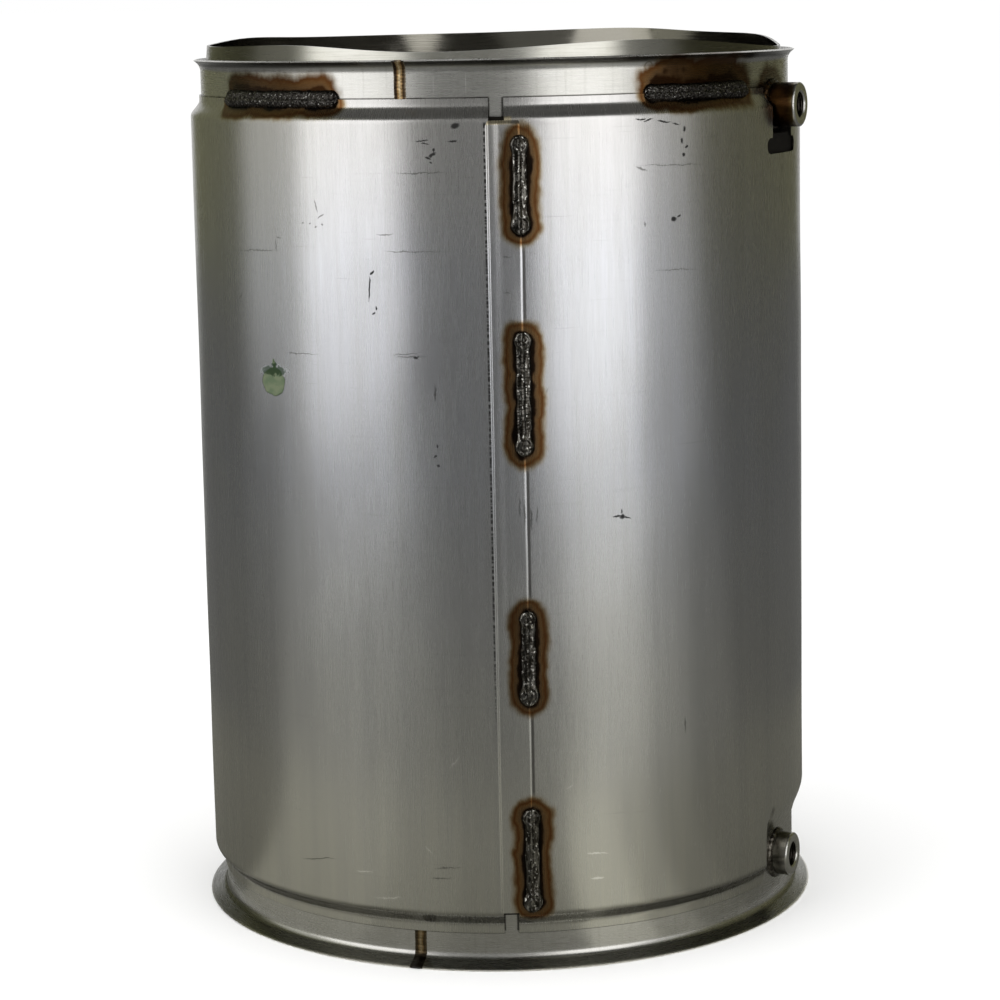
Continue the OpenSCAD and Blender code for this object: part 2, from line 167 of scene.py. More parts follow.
class Nodes:
    """Short hand for building a node material."""

    def __init__(self, name):
        self.mat = bpy.data.materials.new(name)
        self.mat.use_nodes = True
        self.tree = self.mat.node_tree
        self.tree.nodes.clear()
        self.out = self.tree.nodes.new("ShaderNodeOutputMaterial")
        self.bsdf = self.tree.nodes.new("ShaderNodeBsdfPrincipled")
        self.tree.links.new(self.bsdf.outputs[0], self.out.inputs[0])

    def new(self, kind, inputs=(), **props):
        node = self.tree.nodes.new("ShaderNode" + kind)
        for k, v in props.items():
            setattr(node, k, v)
        for k, v in (inputs.items() if isinstance(inputs, dict) else enumerate(inputs)):
            self.put(node.inputs[k], v)
        return node

    def put(self, socket, value):
        if isinstance(value, bpy.types.NodeSocket):
            self.tree.links.new(value, socket)
        elif value is not None:
            if socket.type == "RGBA" and len(value) == 3:
                value = (*value, 1.0)
            socket.default_value = value

    def sheet(self):
        """The mesh's own map, with 1 as its third value, so that a dot product can hold an offset."""
        return self.vector("ADD", self.new("UVMap", uv_map="sheet").outputs[0], (0.0, 0.0, 1.0))

    def obj(self):
        return self.new("TexCoord").outputs["Object"]

    def xyz(self, vec):
        return self.new("SeparateXYZ", [vec]).outputs

    def math(self, op, a, b=None, c=None):
        return self.new("Math", [a, b, c], operation=op).outputs[0]

    def vector(self, op, a, b):
        return self.new("VectorMath", [a, b], operation=op).outputs[0]

    def dot(self, a, b):
        return self.new("VectorMath", [a, b], operation="DOT_PRODUCT").outputs["Value"]

    def scaled(self, vec, x, y, z=1.0):
        return self.vector("MULTIPLY", vec, (x, y, z))

    def shaken(self, vec, scale, amount, detail=1.0):
        """Coordinates pushed about by noise, so that drawn marks get uneven edges."""
        push = self.new("TexNoise", {"Vector": vec, "Scale": scale, "Detail": detail}).outputs["Color"]
        push = self.scaled(self.vector("SUBTRACT", push, (0.5, 0.5, 0.5)), amount, amount, 0.0)
        return self.vector("ADD", vec, push)

    def noise(self, vec, scale, detail=3.0, rough=0.5, distort=0.0):
        node = self.new("TexNoise", {"Vector": vec, "Scale": scale, "Detail": detail, "Roughness": rough,
                                     "Distortion": distort})
        return node.outputs["Fac"]

    def span(self, value, a, b, lo=0.0, hi=1.0, smooth=True):
        kind = "SMOOTHSTEP" if smooth else "LINEAR"
        return self.new("MapRange", {"Value": value, "From Min": a, "From Max": b, "To Min": lo, "To Max": hi},
                        interpolation_type=kind).outputs[0]

    def mix(self, fac, a, b):
        node = self.new("Mix", data_type="RGBA", clamp_factor=True)
        ends = [s for s in node.inputs if s.type == "RGBA"]
        self.put(node.inputs[0], fac)
        self.put(ends[0], a)
        self.put(ends[1], b)
        return [s for s in node.outputs if s.type == "RGBA"][0]

    def colours(self, fac, stops):
        node = self.new("ValToRGB", [fac])
        band = node.color_ramp
        while len(band.elements) < len(stops):
            band.elements.new(0.5)
        for e, (at, colour) in zip(band.elements, stops):
            e.position, e.color = at, (*colour, 1.0)
        return node.outputs[0]

    def marks(self, vec, places, soft=0.6):
        """1 inside any of the ellipses (s, z, half length, half width in mm, turn), fading to 0 at
        their edges."""
        out = None
        for s, z, half_s, half_z, turn in places:
            c, k = math.cos(math.radians(turn)), math.sin(math.radians(turn))
            along = self.dot(vec, (1000 * c / half_s, 1000 * k / half_s, -(s * c + z * k) / half_s))
            across = self.dot(vec, (-1000 * k / half_z, 1000 * c / half_z, (s * k - z * c) / half_z))
            far = self.math("MULTIPLY_ADD", across, across, self.math("MULTIPLY", along, along))
            out = far if out is None else self.math("MINIMUM", out, far)
        return self.span(out, 1.0, (1.0 - soft) ** 2)

    def bar(self, vec, x, y, half_x, half_y):
        """Distance from a bar: 0 on it, growing in metres outside it."""
        part = self.xyz(vec)
        gap = []
        for k, (at, half) in enumerate(((x, half_x), (y, half_y))):
            off = self.math("ABSOLUTE", self.math("SUBTRACT", part[k], at))
            gap.append(self.math("MAXIMUM", self.math("SUBTRACT", off, half), 0.0))
        squares = [self.math("MULTIPLY", g, g) for g in gap]
        return self.math("SQRT", self.math("ADD", *squares))

    def lines(self, vec, bars, soft):
        """1 on any of the bars, fading to 0 at a distance."""
        out = None
        for bar in bars:
            d = self.bar(vec, *bar)
            out = d if out is None else self.math("MINIMUM", out, d)
        return self.span(out, soft, 0.0)

    def heat(self, vec, welds):
        """How far the nearest weld's heat has faded: 0 at its edge, 1 where the tint ends.
        Each weld is a bar (x, y, half_x, half_y) with the distance of its edge and the reach of its tint."""
        out = None
        for x, y, half_x, half_y, edge, reach in welds:
            d = self.math("DIVIDE", self.math("SUBTRACT", self.bar(vec, x, y, half_x, half_y), edge), reach)
            out = d if out is None else self.math("MINIMUM", out, d)
        wide = self.noise(self.scaled(vec, 70, 70), 1.0, 2.0)
        fine = self.noise(self.scaled(vec, 420, 260), 1.0, 3.0)
        out = self.math("ADD", out, self.span(wide, 0.25, 0.75, -0.22, 0.22, False))
        return self.math("ADD", out, self.span(fine, 0.25, 0.75, -0.05, 0.05, False))

    def finish(self, base, rough, bump=None, height=0.0002, metallic=1.0, strength=1.0, **sockets):
        self.put(self.bsdf.inputs["Base Color"], base)
        self.put(self.bsdf.inputs["Roughness"], rough)
        self.put(self.bsdf.inputs["Metallic"], metallic)
        for k, v in sockets.items():
            self.put(self.bsdf.inputs[k.replace("_", " ")], v)
        if bump is not None:
            b = self.new("Bump", {"Height": bump, "Distance": height, "Strength": strength})
            self.put(self.bsdf.inputs["Normal"], b.outputs[0])
        return self.mat


def sheet_s(theta, r=SHEET_R):
    """Distance round the shield for an angle."""
    return math.radians(theta % 360) * r


def sheet_marks(places):
    """Marks given left and right of the front, moved to the sheet's own run from 0 to a full turn."""
    turn = 2 * math.pi * SHEET_R * 1000
    return [(s + turn if s < -5 else s, *rest) for s, *rest in places]


# heat tint from a weld's edge (0) to its end (1)
HEAT = [(0.0, (0.006, 0.005, 0.004)), (0.09, (0.015, 0.008, 0.005)), (0.20, (0.135, 0.084, 0.042)),
        (0.36, (0.165, 0.092, 0.038)), (0.52, (0.110, 0.042, 0.012)), (0.64, (0.185, 0.118, 0.058)),
        (0.80, (0.34, 0.29, 0.215)), (1.0, (0.47, 0.45, 0.41))]
# marks on the shield: place left or right of the front, height, half length, half width in mm, turn
BLACK_MARKS = [
    (-19.1, 415.7, 3.0, 1.9, 15), (-20.5, 408.4, 3.3, 0.7, 0), (-35.0, 409.0, 4.6, 0.45, 5),
    (-33.5, 407.6, 3.0, 0.4, -10), (-30.4, 402.2, 2.6, 1.0, 25), (-32.5, 400.8, 1.8, 0.6, -20),
    (-29.5, 404.2, 0.6, 1.3, 0), (-31.2, 398.8, 0.8, 0.6, 0), (-63.6, 338.0, 7.0, 0.55, 86),
    (-62.2, 345.8, 1.3, 0.8, 40), (-62.0, 326.5, 1.3, 0.5, 10), (-60.5, 328.5, 0.5, 0.9, 0),
    (-40.5, 305.0, 1.6, 0.9, 0), (-31.2, 262.0, 0.7, 1.3, 0), (-32.0, 257.0, 1.3, 0.8, 30),
    (-31.0, 252.5, 0.8, 0.8, 0), (76.0, 416.0, 3.6, 0.5, 12), (85.0, 415.0, 5.0, 0.55, -6),
    (92.0, 413.5, 3.2, 0.4, -15), (72.0, 416.6, 3.5, 0.4, 5), (97.0, 411.0, 1.0, 1.6, 0),
    (95.5, 405.5, 0.9, 1.6, 10), (98.5, 402.5, 1.4, 0.9, 0), (96.5, 398.5, 1.4, 1.2, 0),
    (90.4, 367.8, 2.0, 1.5, 0), (93.5, 369.0, 1.6, 0.5, 30), (59.5, 224.4, 1.9, 1.3, 0),
    (56.8, 224.8, 2.6, 0.5, 5), (62.2, 223.8, 2.4, 0.5, -10), (59.3, 227.0, 0.5, 1.5, 0)]
GREY_MARKS = [
    (-36.7, 393.6, 15.5, 0.38, 0), (-54.8, 364.5, 5.2, 0.4, 3), (-133.6, 354.4, 20.0, 0.35, 3),
    (-40.3, 356.0, 18.0, 0.34, 0), (-119.5, 357.5, 0.4, 4.0, 0), (-117.5, 361.4, 2.5, 0.35, 0),
    (-92.5, 377.0, 0.5, 4.0, 15), (-90.0, 372.5, 2.6, 0.5, 30), (-97.0, 368.6, 0.9, 0.5, 0),
    (-93.0, 367.4, 1.3, 0.5, 20), (-89.0, 368.6, 0.7, 0.6, 0), (-101.0, 369.0, 0.7, 0.5, 0),
    (-43.8, 305.4, 9.5, 0.45, 2), (-46.0, 306.8, 9.0, 0.35, 6), (-31.5, 288.0, 0.7, 5.0, 0),
    (-105.0, 305.0, 12.0, 0.4, 1), (89.9, 394.0, 23.0, 0.36, -2), (91.3, 343.0, 15.0, 0.36, -3),
    (72.0, 393.0, 4.0, 0.7, -20), (74.0, 366.0, 0.7, 1.6, 0), (4.4, 353.1, 2.4, 0.4, 0),
    (4.1, 335.9, 2.2, 0.4, 0), (6.2, 322.9, 2.4, 0.4, 0), (21.4, 286.3, 5.0, 0.4, 62),
    (8.0, 232.0, 0.5, 6.0, 0), (10.5, 229.0, 0.6, 8.0, 0), (13.6, 226.0, 0.6, 7.0, 0),
    (16.6, 228.0, 0.5, 5.0, 0), (93.8, 115.8, 0.5, 5.2, 0), (-102.7, 49.4, 13.0, 0.45, 10),
    (-34.0, 46.5, 7.0, 0.45, 3), (-31.0, 52.0, 9.0, 0.4, 5), (-150.0, 330.0, 3.0, 0.3, 40)]
PALE_MARKS = [
    (44.0, 57.0, 6.6, 0.45, -6), (43.7, 44.4, 4.2, 0.7, -5), (-26.0, 105.5, 4.6, 0.36, 55),
    (-75.0, 46.8, 6.0, 0.4, 0), (-40.0, 60.5, 3.0, 0.35, -40), (30.0, 92.0, 2.4, 0.35, 30),
    (-62.0, 34.5, 9.0, 0.4, 4)]
PAINT_BODY = [(-124.4, 289.6, 9.2, 7.0, 0), (-123.6, 298.5, 1.3, 3.0, 0)]
PAINT_TOP = [(-124.2, 294.9, 11.5, 2.7, 2), (-123.8, 298.0, 1.6, 2.4, 0)]


def shield_steel():
    """Brushed stainless sheet: upright grain, soft clouds, heat tint beside the welds and workshop marks."""
    n = Nodes("shield_steel")
    uv = n.sheet()
    height = n.xyz(uv)[1]
    grain = n.noise(n.scaled(uv, 2600, 45), 1.0, 3.0, 0.6)
    streak = n.noise(n.scaled(uv, 300, 9), 1.0, 3.0, 0.6)
    cloud = n.noise(n.scaled(uv, 14, 9), 1.0, 4.0, 0.55)
    rub = n.noise(n.scaled(uv, 24, 1300), 1.0, 2.0, 0.5)
    stripe = n.noise(n.scaled(uv, 85, 2.0), 1.0, 3.0, 0.55)
    # base tint by height, olive low, bluish through the middle, warm at the top: a painted reflection tint
    base = n.colours(n.span(height, 0.02, 0.43, smooth=False),
                     [(0.0, (0.485, 0.478, 0.43)), (0.30, (0.48, 0.477, 0.45)), (0.55, (0.458, 0.467, 0.495)),
                      (0.80, (0.472, 0.478, 0.505)), (1.0, (0.495, 0.484, 0.475))])
    base = n.mix(n.span(streak, 0.35, 0.75, 0, 0.32), base, (0.40, 0.40, 0.39))
    base = n.mix(n.span(cloud, 0.45, 0.8, 0, 0.30), base, (0.40, 0.395, 0.36))
    base = n.mix(n.span(stripe, 0.40, 0.70, 0, 0.22), base, (0.36, 0.36, 0.35))
    base = n.mix(n.span(rub, 0.66, 0.74, 0, 0.30), base, (0.27, 0.27, 0.26))
    drawn = n.shaken(n.shaken(uv, 170.0, 0.0016), 900.0, 0.0011)
    black = n.marks(drawn, sheet_marks(BLACK_MARKS))
    grey = n.marks(drawn, sheet_marks(GREY_MARKS), 0.8)
    pale = n.marks(drawn, sheet_marks(PALE_MARKS), 0.7)
    dash = n.math("MULTIPLY", n.marks(uv, [(sheet_s(358.15) * 1000, 285.0, 0.85, 400.0, 0)], 0.4),
                  n.math("MULTIPLY", n.span(n.noise(n.scaled(uv, 1, 620), 1.0, 2.0), 0.46, 0.51),
                         n.math("MULTIPLY", n.span(height, 0.10, 0.17), n.span(height, 0.4175, 0.4165))))
    # painted shade in the crevice beside the lap strip's edge, on the sheet beneath
    lap_side = (sheet_s(LAP_EDGE) + 0.0010, (LAP_Z0 + LAP_Z1) / 2, 0.0003, (LAP_Z1 - LAP_Z0) / 2)
    crevice_shade = n.lines(uv, [lap_side], 0.0007)
    base = n.mix(n.math("MULTIPLY", grey, 0.7), base, (0.07, 0.068, 0.062))
    base = n.mix(n.math("MULTIPLY", pale, 0.75), base, (0.80, 0.79, 0.76))
    base = n.mix(n.math("MULTIPLY", dash, 0.92), base, (0.03, 0.03, 0.028))
    base = n.mix(n.math("MULTIPLY", crevice_shade, 0.75), base, (0.06, 0.055, 0.05))
    base = n.mix(n.lines(uv, [(0.0, LAP_Z1, 0.0075, 0.0016)], 0.0006), base, (0.60, 0.53, 0.38))
    base = n.mix(n.math("MULTIPLY", black, 0.93), base, (0.012, 0.012, 0.012))
    # painted shade along the lower fold where the sheet slopes down to the band, weaker near the front
    fold_shade = n.math("MULTIPLY", n.span(height, 0.0205, 0.0235), n.span(height, 0.0305, 0.0272))
    side = n.math("ABSOLUTE", n.math("SUBTRACT", n.xyz(uv)[0], math.pi * SHEET_R))
    fold_shade = n.math("MULTIPLY", fold_shade, n.span(side, 0.463, 0.448, 0.5, 0.86))
    base = n.mix(fold_shade, base, (0.10, 0.095, 0.08))
    # heat tint beside the welds
    welds = [(sheet_s(LAP_EDGE), z, 0.0, h / 2 - 0.0048, 0.0040, 0.0077) for z, h in SEAM_WELDS]
    welds += [(sheet_s((a + b) / 2), BAND_WELD_Z, abs(sheet_s(b) - sheet_s(a)) / 2 - 0.004,
               0.001, 0.0032, 0.0072) for a, b in BAND_WELDS.values()]
    fade = n.heat(uv, welds)
    burnt = n.mix(n.span(cloud, 0.42, 0.70, 0, 0.40), n.colours(fade, HEAT), (0.045, 0.026, 0.014))
    base = n.mix(n.span(fade, 1.12, 0.66), base, burnt)
    # dab of marking paint
    dab = n.marks(n.shaken(uv, 150.0, 0.004, 2.0), sheet_marks(PAINT_BODY), 0.14)
    top = n.marks(n.shaken(uv, 420.0, 0.007, 2.0), sheet_marks(PAINT_TOP), 0.3)
    stain = n.span(n.noise(n.scaled(uv, 260, 260), 1.0, 3.0), 0.35, 0.65)
    stain = n.mix(stain, (0.060, 0.092, 0.040), (0.098, 0.122, 0.062))
    base = n.mix(n.span(dab, 0.0, 0.5, 0.0, 0.94), base, stain)
    base = n.mix(n.math("MULTIPLY", top, 0.9), base, (0.012, 0.028, 0.010))
    # rim faces along the main sheet's cut edges painted dark: painted shade of the gaps at the edges
    base = n.mix(n.new("Attribute", attribute_name="edge").outputs["Fac"], base, (0.085, 0.08, 0.07))
    paint = n.math("MAXIMUM", n.span(dab, 0.4, 1.0, 0.0, 0.8), n.math("MULTIPLY", top, 0.8))
    rough = n.math("ADD", n.span(grain, 0.3, 0.7, 0.225, 0.285, False),
                   n.span(cloud, 0.3, 0.8, -0.02, 0.045, False))
    rough = n.math("ADD", rough, n.math("MULTIPLY", n.math("MAXIMUM", black, paint), 0.3))
    relief = n.math("ADD", n.math("MULTIPLY", grain, 0.5), n.math("MULTIPLY", streak, 0.35))
    relief = n.math("SUBTRACT", relief, n.math("MULTIPLY", rub, 0.25))
    smooth = n.math("MULTIPLY", n.span(height, 0.0275, 0.0315, 0.15, 1.0),
                    n.span(height, 0.4190, 0.4160, 0.15, 1.0))
    relief = n.math("MULTIPLY", relief, smooth)
    return n.finish(base, rough, relief, 0.00004, n.math("SUBTRACT", 1.0, paint), 0.5,
                    Specular_IOR_Level=n.span(paint, 0.0, 0.8, 0.5, 0.1))


def can_s(theta):
    """Distance round the can for an angle."""
    return math.radians(theta) * CAN_R


def can_steel():
    """Rolled stainless of the can: level grain, painted shade on the lower lip with a painted highlight along
    its edge, a darker patch on the lower lip at the left, painted shade under the upper lip, in the crevices
    at the shield's edges and over the part under the shield, tint round the band welds and the inlet boss.
    """
    n = Nodes("can_steel")
    uv = n.sheet()
    z = n.xyz(uv)[1]
    grain = n.noise(n.scaled(uv, 60, 2200), 1.0, 3.0, 0.6)
    streak = n.noise(n.scaled(uv, 420, 14), 1.0, 3.0, 0.6)
    cloud = n.noise(n.obj(), 30, 5.0, 0.6)
    base = n.mix(n.span(cloud, 0.4, 0.8, 0, 0.6), (0.48, 0.475, 0.455), (0.40, 0.395, 0.36))
    base = n.mix(n.span(streak, 0.5, 0.75, 0, 0.30), base, (0.30, 0.295, 0.27))
    # painted shade on the lower lip's flare, and a painted highlight along its edge
    base = n.mix(n.span(z, 0.0060, 0.0036), base, (0.20, 0.20, 0.175))
    base = n.mix(n.span(z, 0.0014, 0.0010), base, (0.70, 0.69, 0.64))
    round_can = n.xyz(uv)[0]
    # darker patch on the lower lip from 240 to 312 degrees round
    lip_dark_left = n.math("MULTIPLY", n.span(round_can, can_s(240), can_s(262)),
                  n.span(round_can, can_s(312), can_s(292)))
    base = n.mix(n.math("MULTIPLY", lip_dark_left, n.span(z, 0.0085, 0.0055, 0.0, 0.75)), base, (0.05, 0.05, 0.042))
    # painted shade under the edge of the upper lip
    brim_shade = n.math("MULTIPLY", n.span(z, CAN_H - 0.0042, CAN_H - 0.0026),
                  n.span(z, CAN_H - 0.0006, CAN_H - 0.0012))
    base = n.mix(n.math("MULTIPLY", brim_shade, 0.85), base, (0.045, 0.043, 0.036))
    line = n.marks(uv, [(-13.6, 435.0, 0.28, 6.2, 0), (-29.2, 435.0, 0.22, 6.0, 0),
                        (-21.0, 440.9, 9.0, 0.2, 0)], 0.5)
    ring = n.math("SUBTRACT", *(n.marks(uv, [(77.4, 441.5, r, r, 0)], 0.2) for r in (2.7, 1.9)))
    base = n.mix(n.math("MULTIPLY", line, 0.6), base, (0.80, 0.80, 0.78))
    base = n.mix(n.math("MULTIPLY", ring, 0.7), base, (0.08, 0.07, 0.055))
    under, past, start = can_s(UNDER_EDGE), can_s(JOGGLE), can_s(CAN_SEAM)
    upper = [(start, past), (under, can_s(343))]
    lower = [(start, past), (under, can_s(57.6)), (can_s(106.4), can_s(343))]
    bars = []
    for edge, level, runs in ((SHEET_Z1 + 0.0002, SHEET_Z1 - 0.005, upper),
                              (SHEET_Z0 - 0.0002, SHEET_Z0 + 0.006, lower)):
        bars += [((a + b) / 2, edge, (b - a) / 2, 0.0001) for a, b in runs]
        bars += [(under - 0.0004, level, 0.0003, 0.005), (past + 0.0002, level, 0.0002, 0.005)]
    # painted shade in the crevices along the shield's upper and lower edges, its under edge and its joggle
    crevice_shade = n.math("MULTIPLY", n.lines(uv, bars, 0.0006), n.span(cloud, 0.25, 0.5, 0.55, 0.9))
    base = n.mix(crevice_shade, base, (0.035, 0.032, 0.027))
    spans = [(can_s((a + b) / 2 % 360), can_s(b - a) / 2) for a, b in BAND_WELDS.values()]
    welds = [(s, BAND_WELD_Z, half - 0.009, 0.001, 0.003, reach)
             for (s, half), reach in zip(spans, (0.0108, 0.0145))]
    welds.append((spans[1][0], BAND_WELD_Z + 0.006, spans[1][1] - 0.011, 0.006, -0.0042, 0.0145))
    welds.append((can_s(BOSS_ANGLE), INLET_BOSS_Z, 0.004, 0.004, 0.0075, 0.0115))
    fade = n.heat(uv, welds)
    deep = n.span(round_can, can_s(20), can_s(36), 0.0, 0.68)
    burnt = n.mix(deep, n.colours(fade, HEAT), (0.024, 0.009, 0.002))
    base = n.mix(n.span(fade, 1.10, 0.50), base, burnt)
    # the can under the shield, seen only through the keyhole, painted near black and rougher: painted shade
    under_shield_shade = n.math("MULTIPLY", n.span(z, 0.4150, 0.4110), n.span(z, 0.050, 0.056))
    base = n.mix(under_shield_shade, base, (0.010, 0.009, 0.008))
    rough = n.math("ADD", n.span(grain, 0.3, 0.7, 0.24, 0.32, False), n.math("MULTIPLY", under_shield_shade, 0.4))
    return n.finish(base, rough, grain, 0.00003, 1.0, 0.5)


def spigot_steel():
    """Bright rolled ring, its inner side darker and smoother, the darkness painted shade of the inside, and
    its left and right parts painted dark as painted shade; the map's first value says which side.
    """
    n = Nodes("spigot_steel")
    inside = n.xyz(n.sheet())[0]
    p = n.obj()
    cloud = n.noise(p, 28, 5.0, 0.6)
    fine = n.noise(n.scaled(p, 40, 40, 1500), 1.0, 3.0, 0.6)
    c = n.mix(n.span(cloud, 0.35, 0.75), (0.44, 0.435, 0.40), (0.34, 0.335, 0.29))
    c = n.mix(n.span(fine, 0.4, 0.8, 0, 0.35), c, (0.28, 0.275, 0.24))
    # painted shade on the ring's left and right parts
    sides_shade = n.math("MAXIMUM", n.span(n.xyz(p)[0], -0.082, -0.102), n.span(n.xyz(p)[0], 0.052, 0.066))
    c = n.mix(n.math("MULTIPLY", sides_shade, 0.85), c, (0.085, 0.083, 0.070))
    # inner side darker: painted shade of the inside
    c = n.mix(n.span(inside, 0.5, 1.0), c, (0.20, 0.192, 0.165))
    r = n.math("ADD", n.span(fine, 0.3, 0.7, 0.19, 0.29, False), n.span(inside, 0.5, 1.0, 0.0, -0.10))
    return n.finish(c, r, fine, 0.00004, 1.0, 0.4)


def plain_steel(name, base, dark, rough):
    """Rolled sheet with fine level streaks and soft clouds."""
    n = Nodes(name)
    p = n.obj()
    cloud = n.noise(p, 28, 5.0, 0.6)
    fine = n.noise(n.scaled(p, 60, 60, 400), 1.0, 3.0, 0.6)
    c = n.mix(n.span(cloud, 0.35, 0.75), base, dark)
    c = n.mix(n.span(fine, 0.4, 0.8, 0, 0.4), c, dark)
    return n.finish(c, n.span(fine, 0.3, 0.7, rough - 0.05, rough + 0.07, False), fine, 0.00004, 1.0, 0.5)


def seam_bead_steel():
    """Smooth dark weld metal with upright flow lines, silvery specks painted in as painted glints, and black
    edges.
    """
    n = Nodes("seam_bead_steel")
    p = n.obj()
    across = n.math("ABSOLUTE", n.xyz(n.sheet())[0])
    flow = n.noise(n.scaled(p, 620, 620, 190), 1.0, 3.0, 0.5, 0.5)
    crinkle_and_glint = n.noise(n.scaled(p, 900, 900, 520), 1.0, 2.0, 0.5)
    c = n.mix(n.span(flow, 0.42, 0.62), (0.022, 0.020, 0.016), (0.105, 0.100, 0.090))
    # silvery specks: painted glints
    c = n.mix(n.span(crinkle_and_glint, 0.58, 0.68, 0, 0.75), c, (0.46, 0.45, 0.42))
    c = n.mix(n.span(across, 0.78, 0.97), c, (0.006, 0.005, 0.004))
    r = n.span(flow, 0.3, 0.7, 0.22, 0.12, False)
    return n.finish(c, r, n.math("ADD", flow, n.math("MULTIPLY", crinkle_and_glint, 0.3)), 0.00028, 1.0, 0.7)


def band_bead_steel():
    """Coarse black weld metal with small bright specks painted in as painted glints."""
    n = Nodes("band_bead_steel")
    p = n.obj()
    across = n.math("ABSOLUTE", n.xyz(n.sheet())[0])
    lump = n.noise(p, 760, 3.0, 0.6)
    speck_and_glint = n.noise(p, 1300, 2.0, 0.5)
    c = n.mix(n.span(lump, 0.42, 0.62), (0.014, 0.012, 0.011), (0.060, 0.056, 0.052))
    # bright specks: painted glints
    c = n.mix(n.span(speck_and_glint, 0.60, 0.69, 0, 0.9), c, (0.42, 0.41, 0.39))
    c = n.mix(n.span(across, 0.62, 0.90), c, (0.006, 0.005, 0.004))
    r = n.span(lump, 0.3, 0.7, 0.20, 0.44, False)
    return n.finish(c, r, n.math("ADD", lump, n.math("MULTIPLY", speck_and_glint, 0.5)), 0.0006, 1.0, 0.9)


def can_seam_steel():
    """Straw-gold weld of the can's butt seam between two dark lines; the map's first value runs across it."""
    n = Nodes("can_seam_steel")
    part = n.xyz(n.sheet())
    off = n.math("ADD", part[0], n.span(n.noise(n.obj(), 260, 3.0), 0.2, 0.8, -0.14, 0.14, False))
    ripple = n.new("TexWave", {"Vector": n.sheet(), "Scale": 95.0, "Distortion": 1.5, "Detail": 2.0},
                   wave_type="BANDS", bands_direction="Y").outputs["Fac"]
    c = n.colours(n.span(off, -1.0, 1.0, smooth=False),
                  [(0.0, (0.28, 0.25, 0.20)), (0.07, (0.030, 0.020, 0.012)), (0.24, (0.025, 0.015, 0.009)),
                   (0.33, (0.22, 0.13, 0.05)), (0.50, (0.55, 0.44, 0.27)), (0.66, (0.34, 0.22, 0.10)),
                   (0.76, (0.045, 0.027, 0.014)), (0.90, (0.10, 0.07, 0.04)), (1.0, (0.34, 0.31, 0.26))])
    c = n.mix(n.span(part[1], 0.030, 0.020, 0, 0.55), c, (0.060, 0.048, 0.026))
    c = n.mix(n.span(part[1], 0.0075, 0.0045), c, (0.020, 0.016, 0.011))
    return n.finish(c, n.span(ripple, 0.2, 0.8, 0.22, 0.36, False), ripple, 0.00012, 1.0, 0.6)


def fibre(name, base, dark):
    """Pressed fibre: short hairs across soft lumps."""
    n = Nodes(name)
    p = n.obj()
    hair = n.noise(n.scaled(p, 900, 900, 2600), 1.0, 4.0, 0.7, 1.5)
    lump = n.noise(p, 140, 4.0, 0.6)
    c = n.mix(n.span(hair, 0.35, 0.7), dark, base)
    c = n.mix(n.span(lump, 0.5, 0.8, 0, 0.5), c, dark)
    return n.finish(c, 0.95, n.math("ADD", hair, lump), 0.0008, 0.0, 0.8, Specular_IOR_Level=0.05)


def knitted_wire():
    """Knitted steel wire: wavy diagonal threads, dark between them as painted shade in the gaps."""
    n = Nodes("knitted_wire")
    p = n.obj()
    a = n.new("TexWave", {"Vector": p, "Scale": 420.0, "Distortion": 6.0, "Detail": 2.0, "Detail Scale": 3.0},
              wave_type="BANDS", bands_direction="DIAGONAL").outputs["Fac"]
    h = n.math("MAXIMUM", a, n.noise(p, 700, 3.0, 0.6))
    # dark between the threads: painted shade in the gaps
    c = n.mix(n.span(h, 0.3, 0.9), (0.06, 0.058, 0.055), (0.50, 0.49, 0.46))
    return n.finish(c, 0.4, h, 0.0008, 1.0, 0.8)


def ceramic():
    """Grey silicon carbide; the end faces show a checkerboard of plugged and open cells, the open cells
    painted near black as painted shade down the channels.
    """
    n = Nodes("ceramic")
    p = n.obj()
    cell = 0.0018
    u, v = (n.math("DIVIDE", n.xyz(p)[k], cell) for k in (0, 1))
    off = [n.math("ABSOLUTE", n.math("SUBTRACT", n.math("FRACT", w), 0.5)) for w in (u, v)]
    inside = n.span(n.math("MAXIMUM", *off), 0.40, 0.34)
    odd = n.math("ABSOLUTE", n.math("MODULO", n.math("ADD", n.math("FLOOR", u), n.math("FLOOR", v)), 2.0))
    up = n.math("ABSOLUTE", n.xyz(n.new("NewGeometry").outputs["True Normal"])[2])
    cells = n.math("MULTIPLY", inside, n.span(up, 0.7, 0.9))
    open_cell = n.math("MULTIPLY", cells, odd)
    plug = n.math("MULTIPLY", cells, n.math("SUBTRACT", 1.0, odd))
    wall = n.mix(n.span(n.noise(p, 60, 5.0, 0.6), 0.35, 0.75), (0.17, 0.168, 0.165), (0.115, 0.113, 0.11))
    wall = n.mix(plug, wall, (0.21, 0.205, 0.195))
    # open cells near black: painted shade down the channels
    wall = n.mix(open_cell, wall, (0.008, 0.008, 0.008))
    wall = n.mix(n.span(n.noise(p, 1500, 2.0, 0.5), 0.55, 0.75, 0, 0.25), wall, (0.06, 0.06, 0.06))
    return n.finish(wall, 0.85, n.math("SUBTRACT", 1.0, open_cell), 0.0012, 0.0, 0.7)


